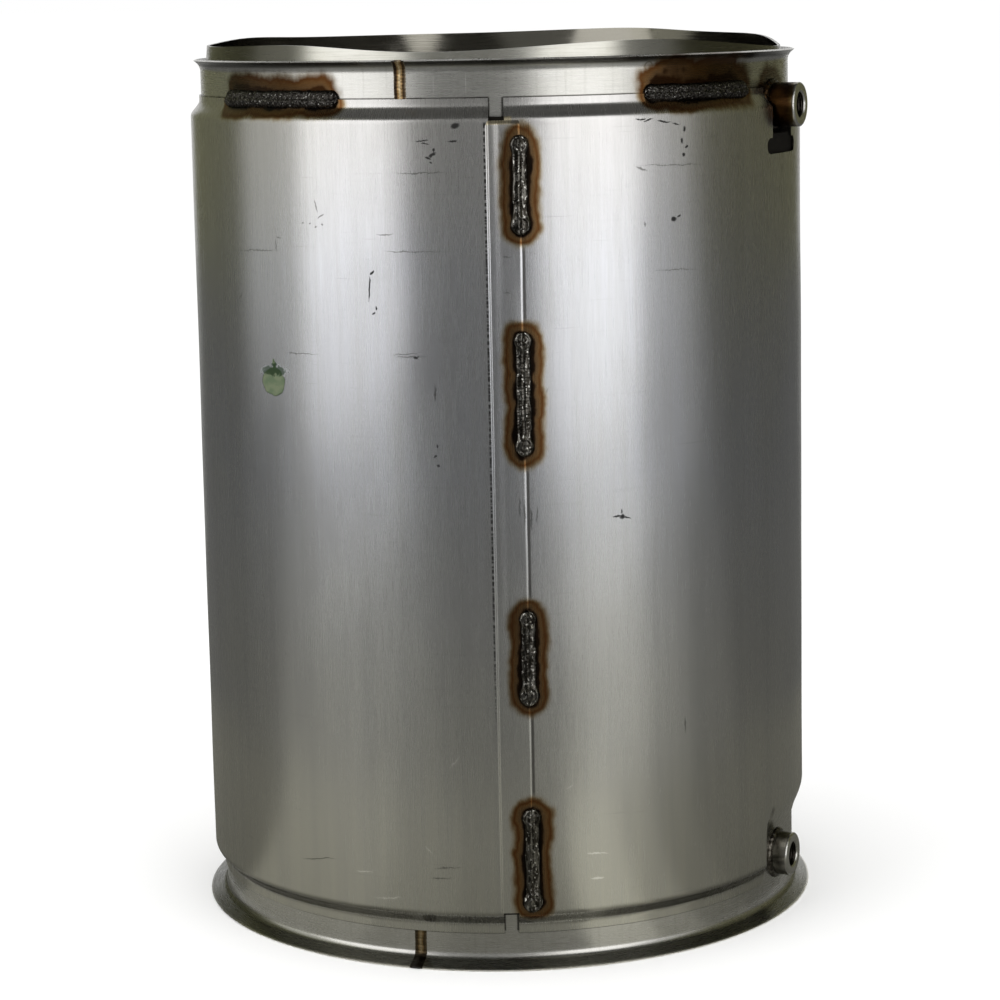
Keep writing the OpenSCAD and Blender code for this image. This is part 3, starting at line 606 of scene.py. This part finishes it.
def boss_steel(name, shaft):
    """Turned boss: shaft colours from foot to mouth, bright end face, dark thread painted as painted shade
    inside the bore; the map's second value runs
    0 to 1 up the shaft, to 2 over the end face and to 3 down the thread."""
    n = Nodes(name)
    p = n.obj()
    zone = n.xyz(n.sheet())[1]
    cloud = n.noise(p, 95, 4.0, 0.6)
    fine = n.noise(p, 1500, 2.0, 0.5)
    along = n.math("ADD", zone, n.span(cloud, 0.25, 0.75, -0.16, 0.16, False))
    c = n.colours(along, shaft)
    c = n.mix(n.span(cloud, 0.55, 0.75, 0, 0.45), c, (0.020, 0.012, 0.007))
    face = n.mix(n.span(fine, 0.4, 0.7), (0.56, 0.555, 0.53), (0.36, 0.35, 0.32))
    c = n.mix(n.span(zone, 0.96, 1.04), c, face)
    # dark thread: painted shade inside the bore
    c = n.mix(n.span(zone, 2.0, 2.12), c, (0.030, 0.026, 0.022))
    turned = n.new("TexWave", {"Vector": n.sheet(), "Scale": 14.0},
                   wave_type="BANDS", bands_direction="Y").outputs["Fac"]
    return n.finish(c, n.span(fine, 0.3, 0.7, 0.15, 0.27, False), turned, 0.00002, 1.0, 0.4)


def boss_bead_steel(name, base, dark):
    """Weld metal round a boss."""
    n = Nodes(name)
    p = n.obj()
    lump = n.noise(p, 600, 3.0, 0.6)
    c = n.mix(n.span(lump, 0.4, 0.65), dark, base)
    return n.finish(c, n.span(lump, 0.3, 0.7, 0.22, 0.40, False), lump, 0.0003, 1.0, 0.6)


BROWN_SHAFT = [(0.0, (0.010, 0.007, 0.004)), (0.16, (0.040, 0.019, 0.006)), (0.45, (0.068, 0.031, 0.009)),
               (0.72, (0.034, 0.016, 0.006)), (0.88, (0.075, 0.048, 0.016)), (0.98, (0.22, 0.20, 0.16))]
GREY_SHAFT = [(0.0, (0.060, 0.055, 0.045)), (0.3, (0.15, 0.142, 0.122)), (0.6, (0.085, 0.080, 0.066)),
              (0.9, (0.24, 0.23, 0.21))]

SHIELD, CAN, SPIGOT = shield_steel(), can_steel(), spigot_steel()
SEAM_BEAD, BAND_BEAD, CAN_SEAM_BEAD = seam_bead_steel(), band_bead_steel(), can_seam_steel()
node_finish = {
    # near-black blanket fibre: painted shade of the gap seen through the keyhole
    "insulation_blanket": fibre("blanket_fibre_painted_shade", (0.012, 0.010, 0.008), (0.003, 0.003, 0.002)),
    "support_mat": fibre("mat_fibre", (0.72, 0.69, 0.62), (0.42, 0.38, 0.31)),
    "filter_substrate": ceramic(),
}
node_finish["inlet_end_seal"] = node_finish["outlet_end_seal"] = knitted_wire()
node_finish["inlet_retaining_ring"] = node_finish["outlet_retaining_ring"] = plain_steel(
    "ring_steel", (0.38, 0.37, 0.34), (0.24, 0.23, 0.20), 0.34)
for name, mat in node_finish.items():
    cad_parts[name].data.materials.clear()
    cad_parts[name].data.materials.append(mat)


# Heat shield

def keyhole_distance(s, z):
    """Signed distance on the sheet to the keyhole's edge, negative inside: a neck over a round-ended foot."""
    x = s - sheet_s(BOSS_ANGLE)
    neck_w, drop, foot_w, foot_h = 0.0284, 0.0242, 0.041, 0.008
    foot_z = INLET_BOSS_Z - drop + foot_h / 2
    qx, qz = np.abs(x) - neck_w / 2, np.abs(z - (foot_z + 0.03)) - 0.03
    neck = np.hypot(np.maximum(qx, 0), np.maximum(qz, 0)) + np.minimum(np.maximum(qx, qz), 0)
    run = (foot_w - foot_h) / 2
    foot = np.hypot(np.maximum(np.abs(x) - run, 0), z - foot_z) - foot_h / 2
    return np.minimum(neck, foot)


def relief_weight(theta):
    """1 over the relief round the outlet boss, 0 beside it."""
    return ramp(theta, 56.2, 58.2) * ramp(theta, 107.8, 105.8)


def relief_edge(theta):
    """How far the lower edge of the sheet is cut up over the relief."""
    return ramp(theta, 57.6, 60.2) * ramp(theta, 106.4, 103.8)


def shield_radius(theta, z):
    """Outer radius of the shield: bands on the can, soft slopes, barrel, and the relief pressed in."""
    swell = ramp(z, 0.0210, 0.0292) * ramp(z, 0.4258, 0.4176)
    pressed = ramp(z, 0.0405, 0.0580)
    w = relief_weight(theta)
    full = swell * (1 - w) + np.minimum(swell, pressed) * w
    s = np.radians(theta) * SHEET_R
    dents = 0.00007 * waves(s, z, 5, 9, 0.05, 0.16) + 0.00016 * waves(s, z, 8, 5, 0.18, 0.40)
    return CAN_R + SHEET_T + 0.005 * full + dents * swell


def steps(*runs):
    """Rising values from several runs of (first, last, step)."""
    return np.unique(np.round(np.concatenate([np.arange(*run) for run in runs]), 5))


def build_shield():
    """Sheet from the under edge round to the joggle on a grid of angle and height, its lower edge lifted
    over the relief and its cells left out in the keyhole, then the lap strip that steps up and runs over
    the seam."""
    theta = np.append(steps((UNDER_EDGE, 10, 0.5), (10, 52, 1.2), (52, 79, 0.33), (79, 100, 0.8),
                            (100, 110, 0.33), (110, 350, 1.6), (350, 360 + JOGGLE, 0.6)), 360 + JOGGLE)
    z = np.append(steps((SHEET_Z0, 0.034, 0.0007), (0.034, 0.062, 0.0018), (0.062, 0.392, 0.010),
                        (0.392, SHEET_Z1, 0.0008)), SHEET_Z1)
    T, Z = np.meshgrid(theta, z, indexing="ij")
    lift = 0.0252 * relief_edge(T)
    Z = np.where(Z < 0.09, SHEET_Z0 + lift + (Z - SHEET_Z0) * (0.09 - SHEET_Z0 - lift) / (0.09 - SHEET_Z0), Z)
    S, Z, keep = cut(np.radians(T) * SHEET_R, Z, keyhole_distance)
    T = np.degrees(S / SHEET_R)
    R = shield_radius(T, Z)
    v1, f1, used, rim1 = shell(place(T, R, Z), place(T, R - SHEET_T, Z), keep)
    uv1 = np.tile(np.stack([S, Z], -1).reshape(-1, 2), (2, 1))[used]
    # lap strip
    theta = np.concatenate([np.linspace(JOGGLE - 0.55, JOGGLE + 0.1, 7),
                            np.linspace(JOGGLE + 0.4, LAP_EDGE - 0.46, 9),
                            LAP_EDGE + np.array([-0.30, -0.22, -0.1, 0.0])])
    z = np.append(np.linspace(LAP_Z0, LAP_Z1 - 0.0028, 90), np.linspace(LAP_Z1 - 0.0024, LAP_Z1, 6))
    T, Z = np.meshgrid(theta, z, indexing="ij")
    T = T + np.where(T > 3, 0.04 * waves(Z, 0 * Z, 3, 5, 0.03, 0.2), 0)
    R = shield_radius(T % 360, Z) + LAP_RISE * ramp(T, JOGGLE - 0.5, JOGGLE)
    R += 0.00010 * waves(T * 0.003, Z, 4, 6, 0.02, 0.09) * ramp(T, 1.5, LAP_EDGE)
    R -= 0.23 * np.radians(np.maximum(T - LAP_EDGE + 0.26, 0)) * SHEET_R
    R -= 0.0014 * ramp(Z, LAP_Z1 - 0.0024, LAP_Z1 + 0.0008)
    v2, f2, used, rim2 = shell(place(T, R, Z), place(T, R - SHEET_T, Z))
    uv2 = np.tile(np.stack([np.radians(T) * SHEET_R, Z], -1).reshape(-1, 2), (2, 1))[used]
    make("heat_shield_sheet", np.concatenate([v1, v2]), np.concatenate([f1, f2 + len(v1)]), SHIELD,
         "heat_shield", np.concatenate([uv1, uv2]), np.concatenate([rim1, 0 * rim2]))


build_shield()


# Welds

def seam_bead(number, middle, length, seed):
    """Stitch weld over the lap's edge: a low ribbed bead between two round puddles. Its half width is the
    softened maximum of the bead and the two puddles' circles; its height is a rounded hump, higher in the
    puddles, with chevron ripples along the bead, a ring and a hollow in each puddle, and a groove along
    both edges."""
    rng = np.random.default_rng(seed)
    upper, lower = 0.0044 + 0.0004 * rng.random(), 0.0047 + 0.0006 * rng.random()
    run = np.linspace(-length / 2, length / 2, int(length / 0.0004))
    A, V = np.meshgrid(np.linspace(-1, 1, 29), run, indexing="ij")
    ends = [(length / 2 - V, upper), (length / 2 + V, lower)]
    neck = 0.0038 * (1 + 0.06 * waves(V, 0 * V, seed, 6, 0.004, 0.02))
    parts = [neck * ramp(np.minimum(ends[0][0], ends[1][0]), 0.0005, 0.0045)]
    parts += [np.sqrt(np.clip(r * r - (end - r) ** 2, 0, None)) for end, r in ends]
    half = np.maximum(sum(p ** 6 for p in parts) ** (1 / 6), 0.00006)
    U = A * half
    hump = (1 - np.abs(A) ** 2.3) ** 0.6 * np.minimum(half / 0.0028, 1) ** 0.6
    H, calm = np.full(V.shape, 0.0014), np.ones(V.shape)
    for end, r in ends:
        far = np.hypot(end - r, U) / r
        H = H + 0.0009 * bump(end - r, 0.9 * r)
        H = H + 0.00020 * bump(far - 0.78, 0.12) - 0.00030 * bump(far - 0.52, 0.14) - 0.00045 * bump(far, 0.34)
        calm = calm * ramp(end, r, 2.4 * r)
    ripple = np.sin(2 * np.pi * (V / 0.0014 + 0.5 * A * A + 0.25 * waves(V, 0 * V, seed + 1, 4, 0.004, 0.012)))
    H = H + calm * (0.00004 * ripple + 0.00016 * bump(U, 0.0005))
    H = H + 0.00005 * waves(V, U, seed + 2, 14, 0.0016, 0.006) - 0.00012 * bump(np.abs(A) - 0.88, 0.06)
    T = LAP_EDGE - 0.1 + np.degrees(U / SHEET_R)
    base = shield_radius(T, middle + V) + LAP_RISE * ramp(U, 0.0012, -0.0012)
    top = place(T, base + np.maximum(H * hump, 0) - 0.00005, middle + V)
    verts, faces, used, _ = shell(top, place(T, base - 0.0006, middle + V))
    uv = np.tile(np.stack([A, V], -1).reshape(-1, 2), (2, 1))[used]
    make(f"seam_weld_bead_{number}", verts, faces, SEAM_BEAD, f"seam_weld_{number}", uv, crease=60)


def band_bead(side, first, last, seed):
    """Weave weld along the upper edge of the shield: a flat-topped hump across, coarse lumps all over, a
    rounder puddle at the end where the arc stopped."""
    length, width, height = math.radians(last - first) * CAN_R + 0.002, 0.0086, 0.0022
    stop = -1 if side == "right" else 1
    run = np.linspace(-length / 2, length / 2, int(length / 0.0005))
    V, A = np.meshgrid(run, np.linspace(-1, 1, 25), indexing="ij")
    end = length / 2 - np.abs(V)
    blob = bump(length / 2 - stop * V - 0.0045, 0.0045)
    half = width / 2 * (1 + 0.10 * blob + 0.05 * waves(V, 0 * V, seed, 6, 0.005, 0.03))
    half = half * np.maximum(np.sqrt(np.clip(1 - np.clip(1 - end / (width * 0.5), 0, 1) ** 2, 0, 1)), 0.02)
    U = A * half
    hump = (1 - np.abs(A) ** 2.8) ** 0.6 * np.minimum(half / (width * 0.4), 1) ** 0.6
    lumps = 0.00016 * waves(V, U, seed + 2, 18, 0.0011, 0.0032)
    lumps += 0.00010 * waves(V, U, seed + 5, 9, 0.003, 0.009)
    groove = -0.0003 * bump(np.abs(A) - 0.74, 0.09) * (0.5 + 0.5 * blob)
    H = np.maximum((height * (1 + 0.25 * blob) + lumps + groove) * hump, 0)
    T, Z = (first + last) / 2 + np.degrees(V / CAN_R), SHEET_Z1 + U
    base = CAN_R + SHEET_T * ramp(U, 0.001, -0.001)
    verts, faces, used, _ = shell(place(T, base + H - 0.00005, Z), place(T, base - 0.0006, Z))
    uv = np.tile(np.stack([A, V], -1).reshape(-1, 2), (2, 1))[used]
    make(f"band_weld_bead_{side}", verts, faces, BAND_BEAD, f"band_weld_{side}", uv, crease=60)


for i, (middle, length) in enumerate(SEAM_WELDS):
    seam_bead(i + 1, middle, length, 20 + 7 * i)
for i, (side, (first, last)) in enumerate(BAND_WELDS.items()):
    band_bead(side, first, last, 60 + 9 * i)


# Can, its butt weld and the spigot ring

def lip(reach, bend, turn):
    """Outer side of a flared lip as (radius, height above the start of the bend), and its height:
    an arc of the bend's radius through the turn, then straight to the reach."""
    a, t = np.radians(np.linspace(0, turn, 9)), math.radians(turn)
    straight = (reach - bend * (1 - math.cos(t))) / math.sin(t)
    tip = straight * math.cos(t) + bend * math.sin(t)
    arc = np.stack([CAN_R + bend * (1 - np.cos(a)), bend * np.sin(a)], 1)
    return np.concatenate([arc, [[CAN_R + reach, tip]]]), tip + CAN_T * math.sin(t) - 0.0005, t


def can_section():
    """Outer and inner side of the can's wall as matching rows of (radius, height): the inner side is the
    outer one moved in by the wall along its normal, with both lips trimmed square."""
    (low, low_h, low_t), (top, top_h, top_t) = lip(0.009, 0.004, 68), lip(0.0034, 0.006, 50)
    z = steps((low_h + 0.002, 0.045, 0.0011), (0.045, 0.40, 0.02), (0.40, CAN_H - top_h, 0.0011))
    outer = np.concatenate([(low * [1, -1] + [0, low_h])[::-1], np.stack([np.full(len(z), CAN_R), z], 1),
                            top + [0, CAN_H - top_h]])
    d = np.gradient(outer, axis=0)
    normal = np.stack([d[:, 1], -d[:, 0]], 1) / np.linalg.norm(d, axis=1)[:, None]
    inner = outer - normal * CAN_T
    trim = 0.0005
    low_end = outer[0, 0] - CAN_T * math.cos(low_t) + trim / math.tan(low_t)
    top_end = outer[-1, 0] - CAN_T * math.cos(top_t) - trim * math.tan(top_t)
    inner[0], inner[-1] = [low_end - 0.0008, 0.0], [top_end, CAN_H]
    return outer, inner, normal


def port_distance(s, z):
    """Distance on the can to the edge of the nearer sensor port, negative inside it."""
    x = s - math.radians(BOSS_ANGLE) * CAN_R
    return np.minimum(np.hypot(x, z - INLET_BOSS_Z), np.hypot(x, z - OUTLET_BOSS_Z)) - PORT_R


def build_can():
    """Can wall turned round the axis from one side of its butt weld to the other, with both ports cut."""
    outer, inner, _ = can_section()
    gap = math.degrees(0.0018 / CAN_R)
    theta = np.append(steps((CAN_SEAM + gap, 60, 1.5), (60, 71, 0.3), (71, 360 + CAN_SEAM - gap, 1.5)),
                      360 + CAN_SEAM - gap)
    T, Z = np.meshgrid(theta, outer[:, 1], indexing="ij")
    S, Zc, keep = cut(np.radians(T) * CAN_R, Z, port_distance)
    T = np.degrees(S / CAN_R)
    verts, faces, used, _ = shell(place(T, outer[:, 0], Zc), place(T, inner[:, 0], Zc - Z + inner[:, 1]), keep)
    uv = np.tile(np.stack([S, Zc], -1).reshape(-1, 2), (2, 1))[used]
    make("can_tube", verts, faces, CAN, "can_shell", uv)


def build_can_seam():
    """Butt weld that fills the can's gap from lip to lip: a low crown across that laps onto both edges."""
    outer, inner, normal = can_section()
    a = np.array([-1, -0.85, -0.62, -0.58, -0.35, -0.15, 0, 0.15, 0.35, 0.58, 0.62, 0.85, 1])[:, None]
    crown = np.interp(np.abs(a), [0, 0.35, 0.58, 0.85, 1], [0.00038, 0.00030, 0.00012, 0.00010, 0.00003])
    through = np.abs(a) < 0.6
    T = CAN_SEAM + np.degrees(0.0031 * a / CAN_R)
    r_out, z_out = (outer[None, :, k] + normal[None, :, k] * crown for k in (0, 1))
    r_in, z_in = (np.where(through, inner[None, :, k] - normal[None, :, k] * 0.0001,
                           outer[None, :, k] - normal[None, :, k] * 0.0004) for k in (0, 1))
    verts, faces, used, _ = shell(place(T, r_out, np.clip(z_out, 0, CAN_H)),
                                  place(T, r_in, np.clip(z_in, 0, CAN_H)))
    uv = np.tile(np.stack(np.broadcast_arrays(a, outer[None, :, 1]), -1).reshape(-1, 2), (2, 1))[used]
    make("can_seam_bead", verts, faces, CAN_SEAM_BEAD, "can_seam_weld", uv)


# rise of the spigot's rim over the inlet lip in mm, by angle
RIM = [(-70, 6.4), (-40, 7.9), (-16, 2.9), (0, 3.9), (16, 6.5), (33, 7.8), (48, 4.7), (70, 1.2),
       (93, 1.5), (102, 6.6), (131, 8.0), (148, 11.0), (180, 9.2), (226, 9.0), (243, 10.3), (262, 7.3)]


def build_spigot():
    """Ring of sheet standing in the inlet end: a seat on the can, a joggle inwards, then a wall whose height
    follows the waves round the rim and which leans a little in or out along them."""
    theta = np.arange(0, 360, 1.0)
    at, rise = np.array(RIM).T
    rim = CAN_H + 0.001 * np.interp(theta, at % 360, rise, period=360)
    k = np.exp(-0.5 * (np.arange(-20, 21) / 6.0) ** 2)
    rim = np.convolve(np.concatenate([rim[-20:], rim, rim[:20]]), k / k.sum(), "valid")
    lean = -0.001 + 0.0034 * bump(theta - 155, 22) + 0.0013 * bump(theta - 196, 6)
    seat, joggle, z0, t = CAN_R - CAN_T, 0.0014, 0.43175, 0.0015
    z1 = z0 + 0.009
    v = np.linspace(0, 1, 12)
    wall_z = z1 + 2 * joggle + (rim[:, None] - z1 - 2 * joggle) * v
    wall_r = seat - joggle + lean[:, None] * v
    foot = np.ones((len(theta), 1))
    Z = np.concatenate([z0 * foot, z1 * foot, wall_z], 1)
    R = np.concatenate([seat * foot, seat * foot, wall_r], 1)
    side = np.concatenate([0 * R, 0 * R + 1], 1)
    R, Z = np.concatenate([R, R[:, ::-1] - t], 1), np.concatenate([Z, Z[:, ::-1]], 1)
    make("spigot_ring_sheet", place(theta[:, None], R, Z), quads(*R.shape, True, True), SPIGOT,
         "inlet_spigot_ring", np.stack([side, Z], -1))


build_can()
build_can_seam()
build_spigot()


# Sensor bosses

def foot_height(rho, psi):
    """Height of the can's wall under a point beside a boss's axis."""
    return np.sqrt(CAN_R ** 2 - (rho * np.sin(psi)) ** 2)


def build_boss(name, z, height, mat):
    """Turned boss: its outline runs up the shaft, over a chamfer and the end face, and down a screw thread
    whose radius swings with the depth and the angle; the foot follows the can."""
    psi = -np.linspace(0, 2 * np.pi, 96, endpoint=False)[:, None]
    end, chamfer = CAN_R + height, 0.0008
    t = np.array([[0, 0.04, 0.2, 0.4, 0.6, 0.8, 0.93, 1.0]])
    foot = foot_height(BOSS_R, psi)
    rows = [(BOSS_R + 0 * t, foot + (end - chamfer - foot) * t, t)]
    face_r = np.array([[BOSS_R - 0.0002, BOSS_R - 0.0005, BOSS_R - chamfer, 0.0096, 0.0084,
                        BORE_R + chamfer, BORE_R + 0.0003]])
    face_h = end - np.array([[0.0005, 0.0002, 0.0, 0.0, 0.0, 0.0, 0.0004]])
    rows.append((face_r, face_h, np.linspace(1.05, 1.95, 7)[None, :]))
    deep = np.linspace(0, 1, int(height / THREAD_PITCH * 9))[None, :]
    low = foot_height(BORE_R, psi)
    depth = (end - chamfer - low) * deep
    swing = 0.5 - 0.5 * np.cos(2 * np.pi * depth / THREAD_PITCH + psi)
    rows.append((BORE_R + 0.0007 * swing * ramp(depth, 0, 0.0008), end - chamfer - depth, 2.1 + 0.9 * deep))
    rho, h, zone = (np.concatenate([np.broadcast_to(r[k], (len(psi), r[k].shape[1])) for r in rows], 1)
                    for k in range(3))
    uv = np.stack([np.broadcast_to(-psi / (2 * np.pi), rho.shape), zone], -1)
    make(name + "_turned", boss_place(rho, psi, h, z), quads(*rho.shape, True, True), mat, name,
         uv)


def build_boss_bead(name, z, mat, seed):
    """Fillet weld round a boss: a rounded leg from the can to the shaft, scalloped along its run."""
    psi = -np.linspace(0, 2 * np.pi, 160, endpoint=False)[:, None]
    s = np.linspace(0, 1, 9)[None, :]
    ripple = np.sin(26 * psi + 1.2 * np.sin(3 * psi) + 2.2 * s)
    ripple = ripple + 0.8 * waves(psi * 0.011, 0 * psi, seed, 6, 0.003, 0.011)
    leg = BOSS_LEG * (1 + 0.05 * np.sin(3 * psi + seed))
    round_out = (0.20 * BOSS_LEG + 0.00007 * ripple) * np.sin(np.pi * s)
    rho = BOSS_R + leg * (1 - s) + round_out
    h = foot_height(rho, psi) + leg * s + round_out
    deep = foot_height(BOSS_R, psi) - 0.0004
    rho = np.concatenate([rho, BOSS_R - 0.0003 + 0 * psi, rho[:, :1]], 1)
    h = np.concatenate([h, deep, h[:, :1] - 0.0004], 1)
    make(name + "_bead", boss_place(rho, psi, h, z), quads(*rho.shape, True, True), mat, name,
         crease=60)


build_boss("inlet_sensor_boss", INLET_BOSS_Z, INLET_BOSS_H, boss_steel("brown_boss", BROWN_SHAFT))
build_boss("outlet_sensor_boss", OUTLET_BOSS_Z, OUTLET_BOSS_H, boss_steel("grey_boss", GREY_SHAFT))
build_boss_bead("inlet_boss_weld", INLET_BOSS_Z,
                boss_bead_steel("brown_bead", (0.055, 0.030, 0.012), (0.012, 0.008, 0.005)), 81)
build_boss_bead("outlet_boss_weld", OUTLET_BOSS_Z,
                boss_bead_steel("grey_bead", (0.15, 0.14, 0.12), (0.04, 0.035, 0.028)), 83)


# Floor, light and camera

FAR, TENT_R = 2000, 4.0

def stage_mesh(name, verts, faces, colour):
    """Plain matt mesh that belongs to the studio, not to the object."""
    mesh = bpy.data.meshes.new(name)
    mesh.from_pydata(np.asarray(verts, float), [], faces)
    obj = bpy.data.objects.new(name, mesh)
    bpy.context.scene.collection.objects.link(obj)
    n = Nodes(name)
    n.finish(colour, 0.9, metallic=0.0, Specular_IOR_Level=0.0)
    mesh.materials.append(n.mat)
    return obj


def screen(name, verts, faces, colour):
    """Cloth that only reflections see, as photographers hang round bright metal."""
    obj = stage_mesh(name, verts, faces, colour)
    obj.visible_camera = obj.visible_diffuse = obj.visible_shadow = obj.visible_transmission = False


def tent_part(name, turns, rises, colour):
    """Part of a dome round the object between two angles round it and two angles above the floor."""
    turn, rise = np.meshgrid(np.linspace(*turns, 25), np.radians(np.linspace(*rises, 9)), indexing="ij")
    dome = place(turn, TENT_R * np.cos(rise), TENT_R * np.sin(rise))
    screen(name, dome.reshape(-1, 3), quads(*turn.shape).tolist(), colour)


def floor_cloth(name, turns, rings, greys, tint):
    """Ring just above the floor between two radii, in sectors from angle to angle, each of its own grey."""
    for k, grey in enumerate(greys):
        arc = np.linspace(turns[k], turns[k + 1], 19)[:, None]
        points = place(arc, np.array([rings]), 0.001)
        screen(f"{name}_{k + 1}", points.reshape(-1, 3), quads(len(arc), 2).tolist(),
               tuple(grey * c for c in tint))


stage_mesh("floor", [(-FAR, -FAR, 0), (FAR, -FAR, 0), (FAR, FAR, 0), (-FAR, FAR, 0)], [(0, 1, 2, 3)],
           (0.985, 0.985, 0.98))
tent_part("tent_front", (-65, 70), (0, 52), (0.290, 0.290, 0.280))
tent_part("tent_right", (70, 157), (0, 52), (0.135, 0.131, 0.078))
tent_part("tent_left", (-157, -65), (0, 52), (0.165, 0.165, 0.100))
tent_part("tent_back", (157, 203), (0, 52), (0.80, 0.80, 0.80))
tent_part("tent_top", (0, 360), (52, 89), (0.085, 0.085, 0.080))
floor_cloth("near_cloth", (-78, -34, -14, 17, 33, 45, 60, 155, 205, 282), (0.1645, 0.5),
            (0.35, 0.27, 0.215, 0.60, 0.36, 0.22, 0.17, 0.40, 0.17), (1.0, 0.985, 0.86))
floor_cloth("far_cloth", (-85, -48, -20, 24, 48, 64, 84, 155, 205, 275), (0.5, 4.0),
            (0.235, 0.18, 0.14, 0.41, 0.25, 0.17, 0.125, 0.36, 0.125), (1.0, 1.0, 0.96))


def lit_world():
    """Even white surroundings: one strength for what is seen or mirrored, one for light on matt surfaces."""
    world = bpy.data.worlds.new("studio")
    bpy.context.scene.world = world
    world.use_nodes = True
    tree = world.node_tree
    tree.nodes.clear()
    path = tree.nodes.new("ShaderNodeLightPath")
    seen = path.outputs["Is Camera Ray"]
    for other in ("Is Glossy Ray", "Is Transmission Ray"):
        either = tree.nodes.new("ShaderNodeMath")
        either.operation = "MAXIMUM"
        tree.links.new(seen, either.inputs[0])
        tree.links.new(path.outputs[other], either.inputs[1])
        seen = either.outputs[0]
    pick = tree.nodes.new("ShaderNodeMixShader")
    tree.links.new(seen, pick.inputs[0])
    for k, strength in ((1, 1.03), (2, 1.0)):
        sky = tree.nodes.new("ShaderNodeBackground")
        sky.inputs[1].default_value = strength
        sky.inputs[0].default_value = (1, 1, 1, 1)
        tree.links.new(sky.outputs[0], pick.inputs[k])
    tree.links.new(pick.outputs[0], tree.nodes.new("ShaderNodeOutputWorld").inputs[0])


lit_world()


def softbox(name, azimuth, distance, height, size, radiance, colour, aim):
    """Rectangular lamp at an angle round the object, facing its axis; radiance is what a mirror would show."""
    lamp = bpy.data.lights.new(name, "AREA")
    lamp.shape = "RECTANGLE"
    lamp.size, lamp.size_y = size
    lamp.energy = radiance * math.pi * size[0] * size[1]
    lamp.color = colour
    obj = bpy.data.objects.new(name, lamp)
    bpy.context.scene.collection.objects.link(obj)
    at = place(azimuth, distance, height)
    to = np.array([0, 0, aim]) - at
    yaw = math.atan2(-to[0], to[1])
    pitch = math.atan2(to[2], math.hypot(to[0], to[1]))
    obj.matrix_world = (Matrix.Translation(at.tolist()) @ Matrix.Rotation(yaw, 4, "Z")
                        @ Matrix.Rotation(math.pi / 2 + pitch, 4, "X"))
    obj.visible_camera = False
    return obj


softbox("softbox_left", -55, 1.8, 0.91, (1.4, 1.70), 1.74, (1.0, 0.995, 1.0), 0.87)
softbox("softbox_left_outer", -91, 1.8, 0.94, (0.8, 1.70), 0.52, (1.0, 1.0, 1.0), 0.9)
softbox("softbox_right", 33, 1.8, 0.84, (1.2, 1.70), 1.80, (1.0, 0.995, 0.99), 0.82)
softbox("softbox_right_outer", 63, 1.8, 0.87, (0.7, 1.70), 0.42, (1.0, 1.0, 1.0), 0.85)
overhead = softbox("overhead", 180, 0.8, 3.4, (3.0, 3.0), 0.4, (1.0, 1.0, 1.0), 0.0)
overhead.visible_glossy = False

camera = bpy.data.cameras.new("camera")
camera.sensor_width = 36
camera.lens = 2.87573 * 36
camera.shift_y = -0.07
camera.clip_end = 3 * FAR
eye = bpy.data.objects.new("camera", camera)
bpy.context.scene.collection.objects.link(eye)
eye.matrix_world = (Matrix.Translation((0, -1.52684, 0.47253)) @ Matrix.Rotation(0.00043, 4, "Z")
                    @ Matrix.Rotation(math.pi / 2 - 0.14716, 4, "X") @ Matrix.Rotation(-0.0200, 4, "Z"))
bpy.context.scene.camera = eye
bpy.context.scene.view_settings.view_transform = "Standard"
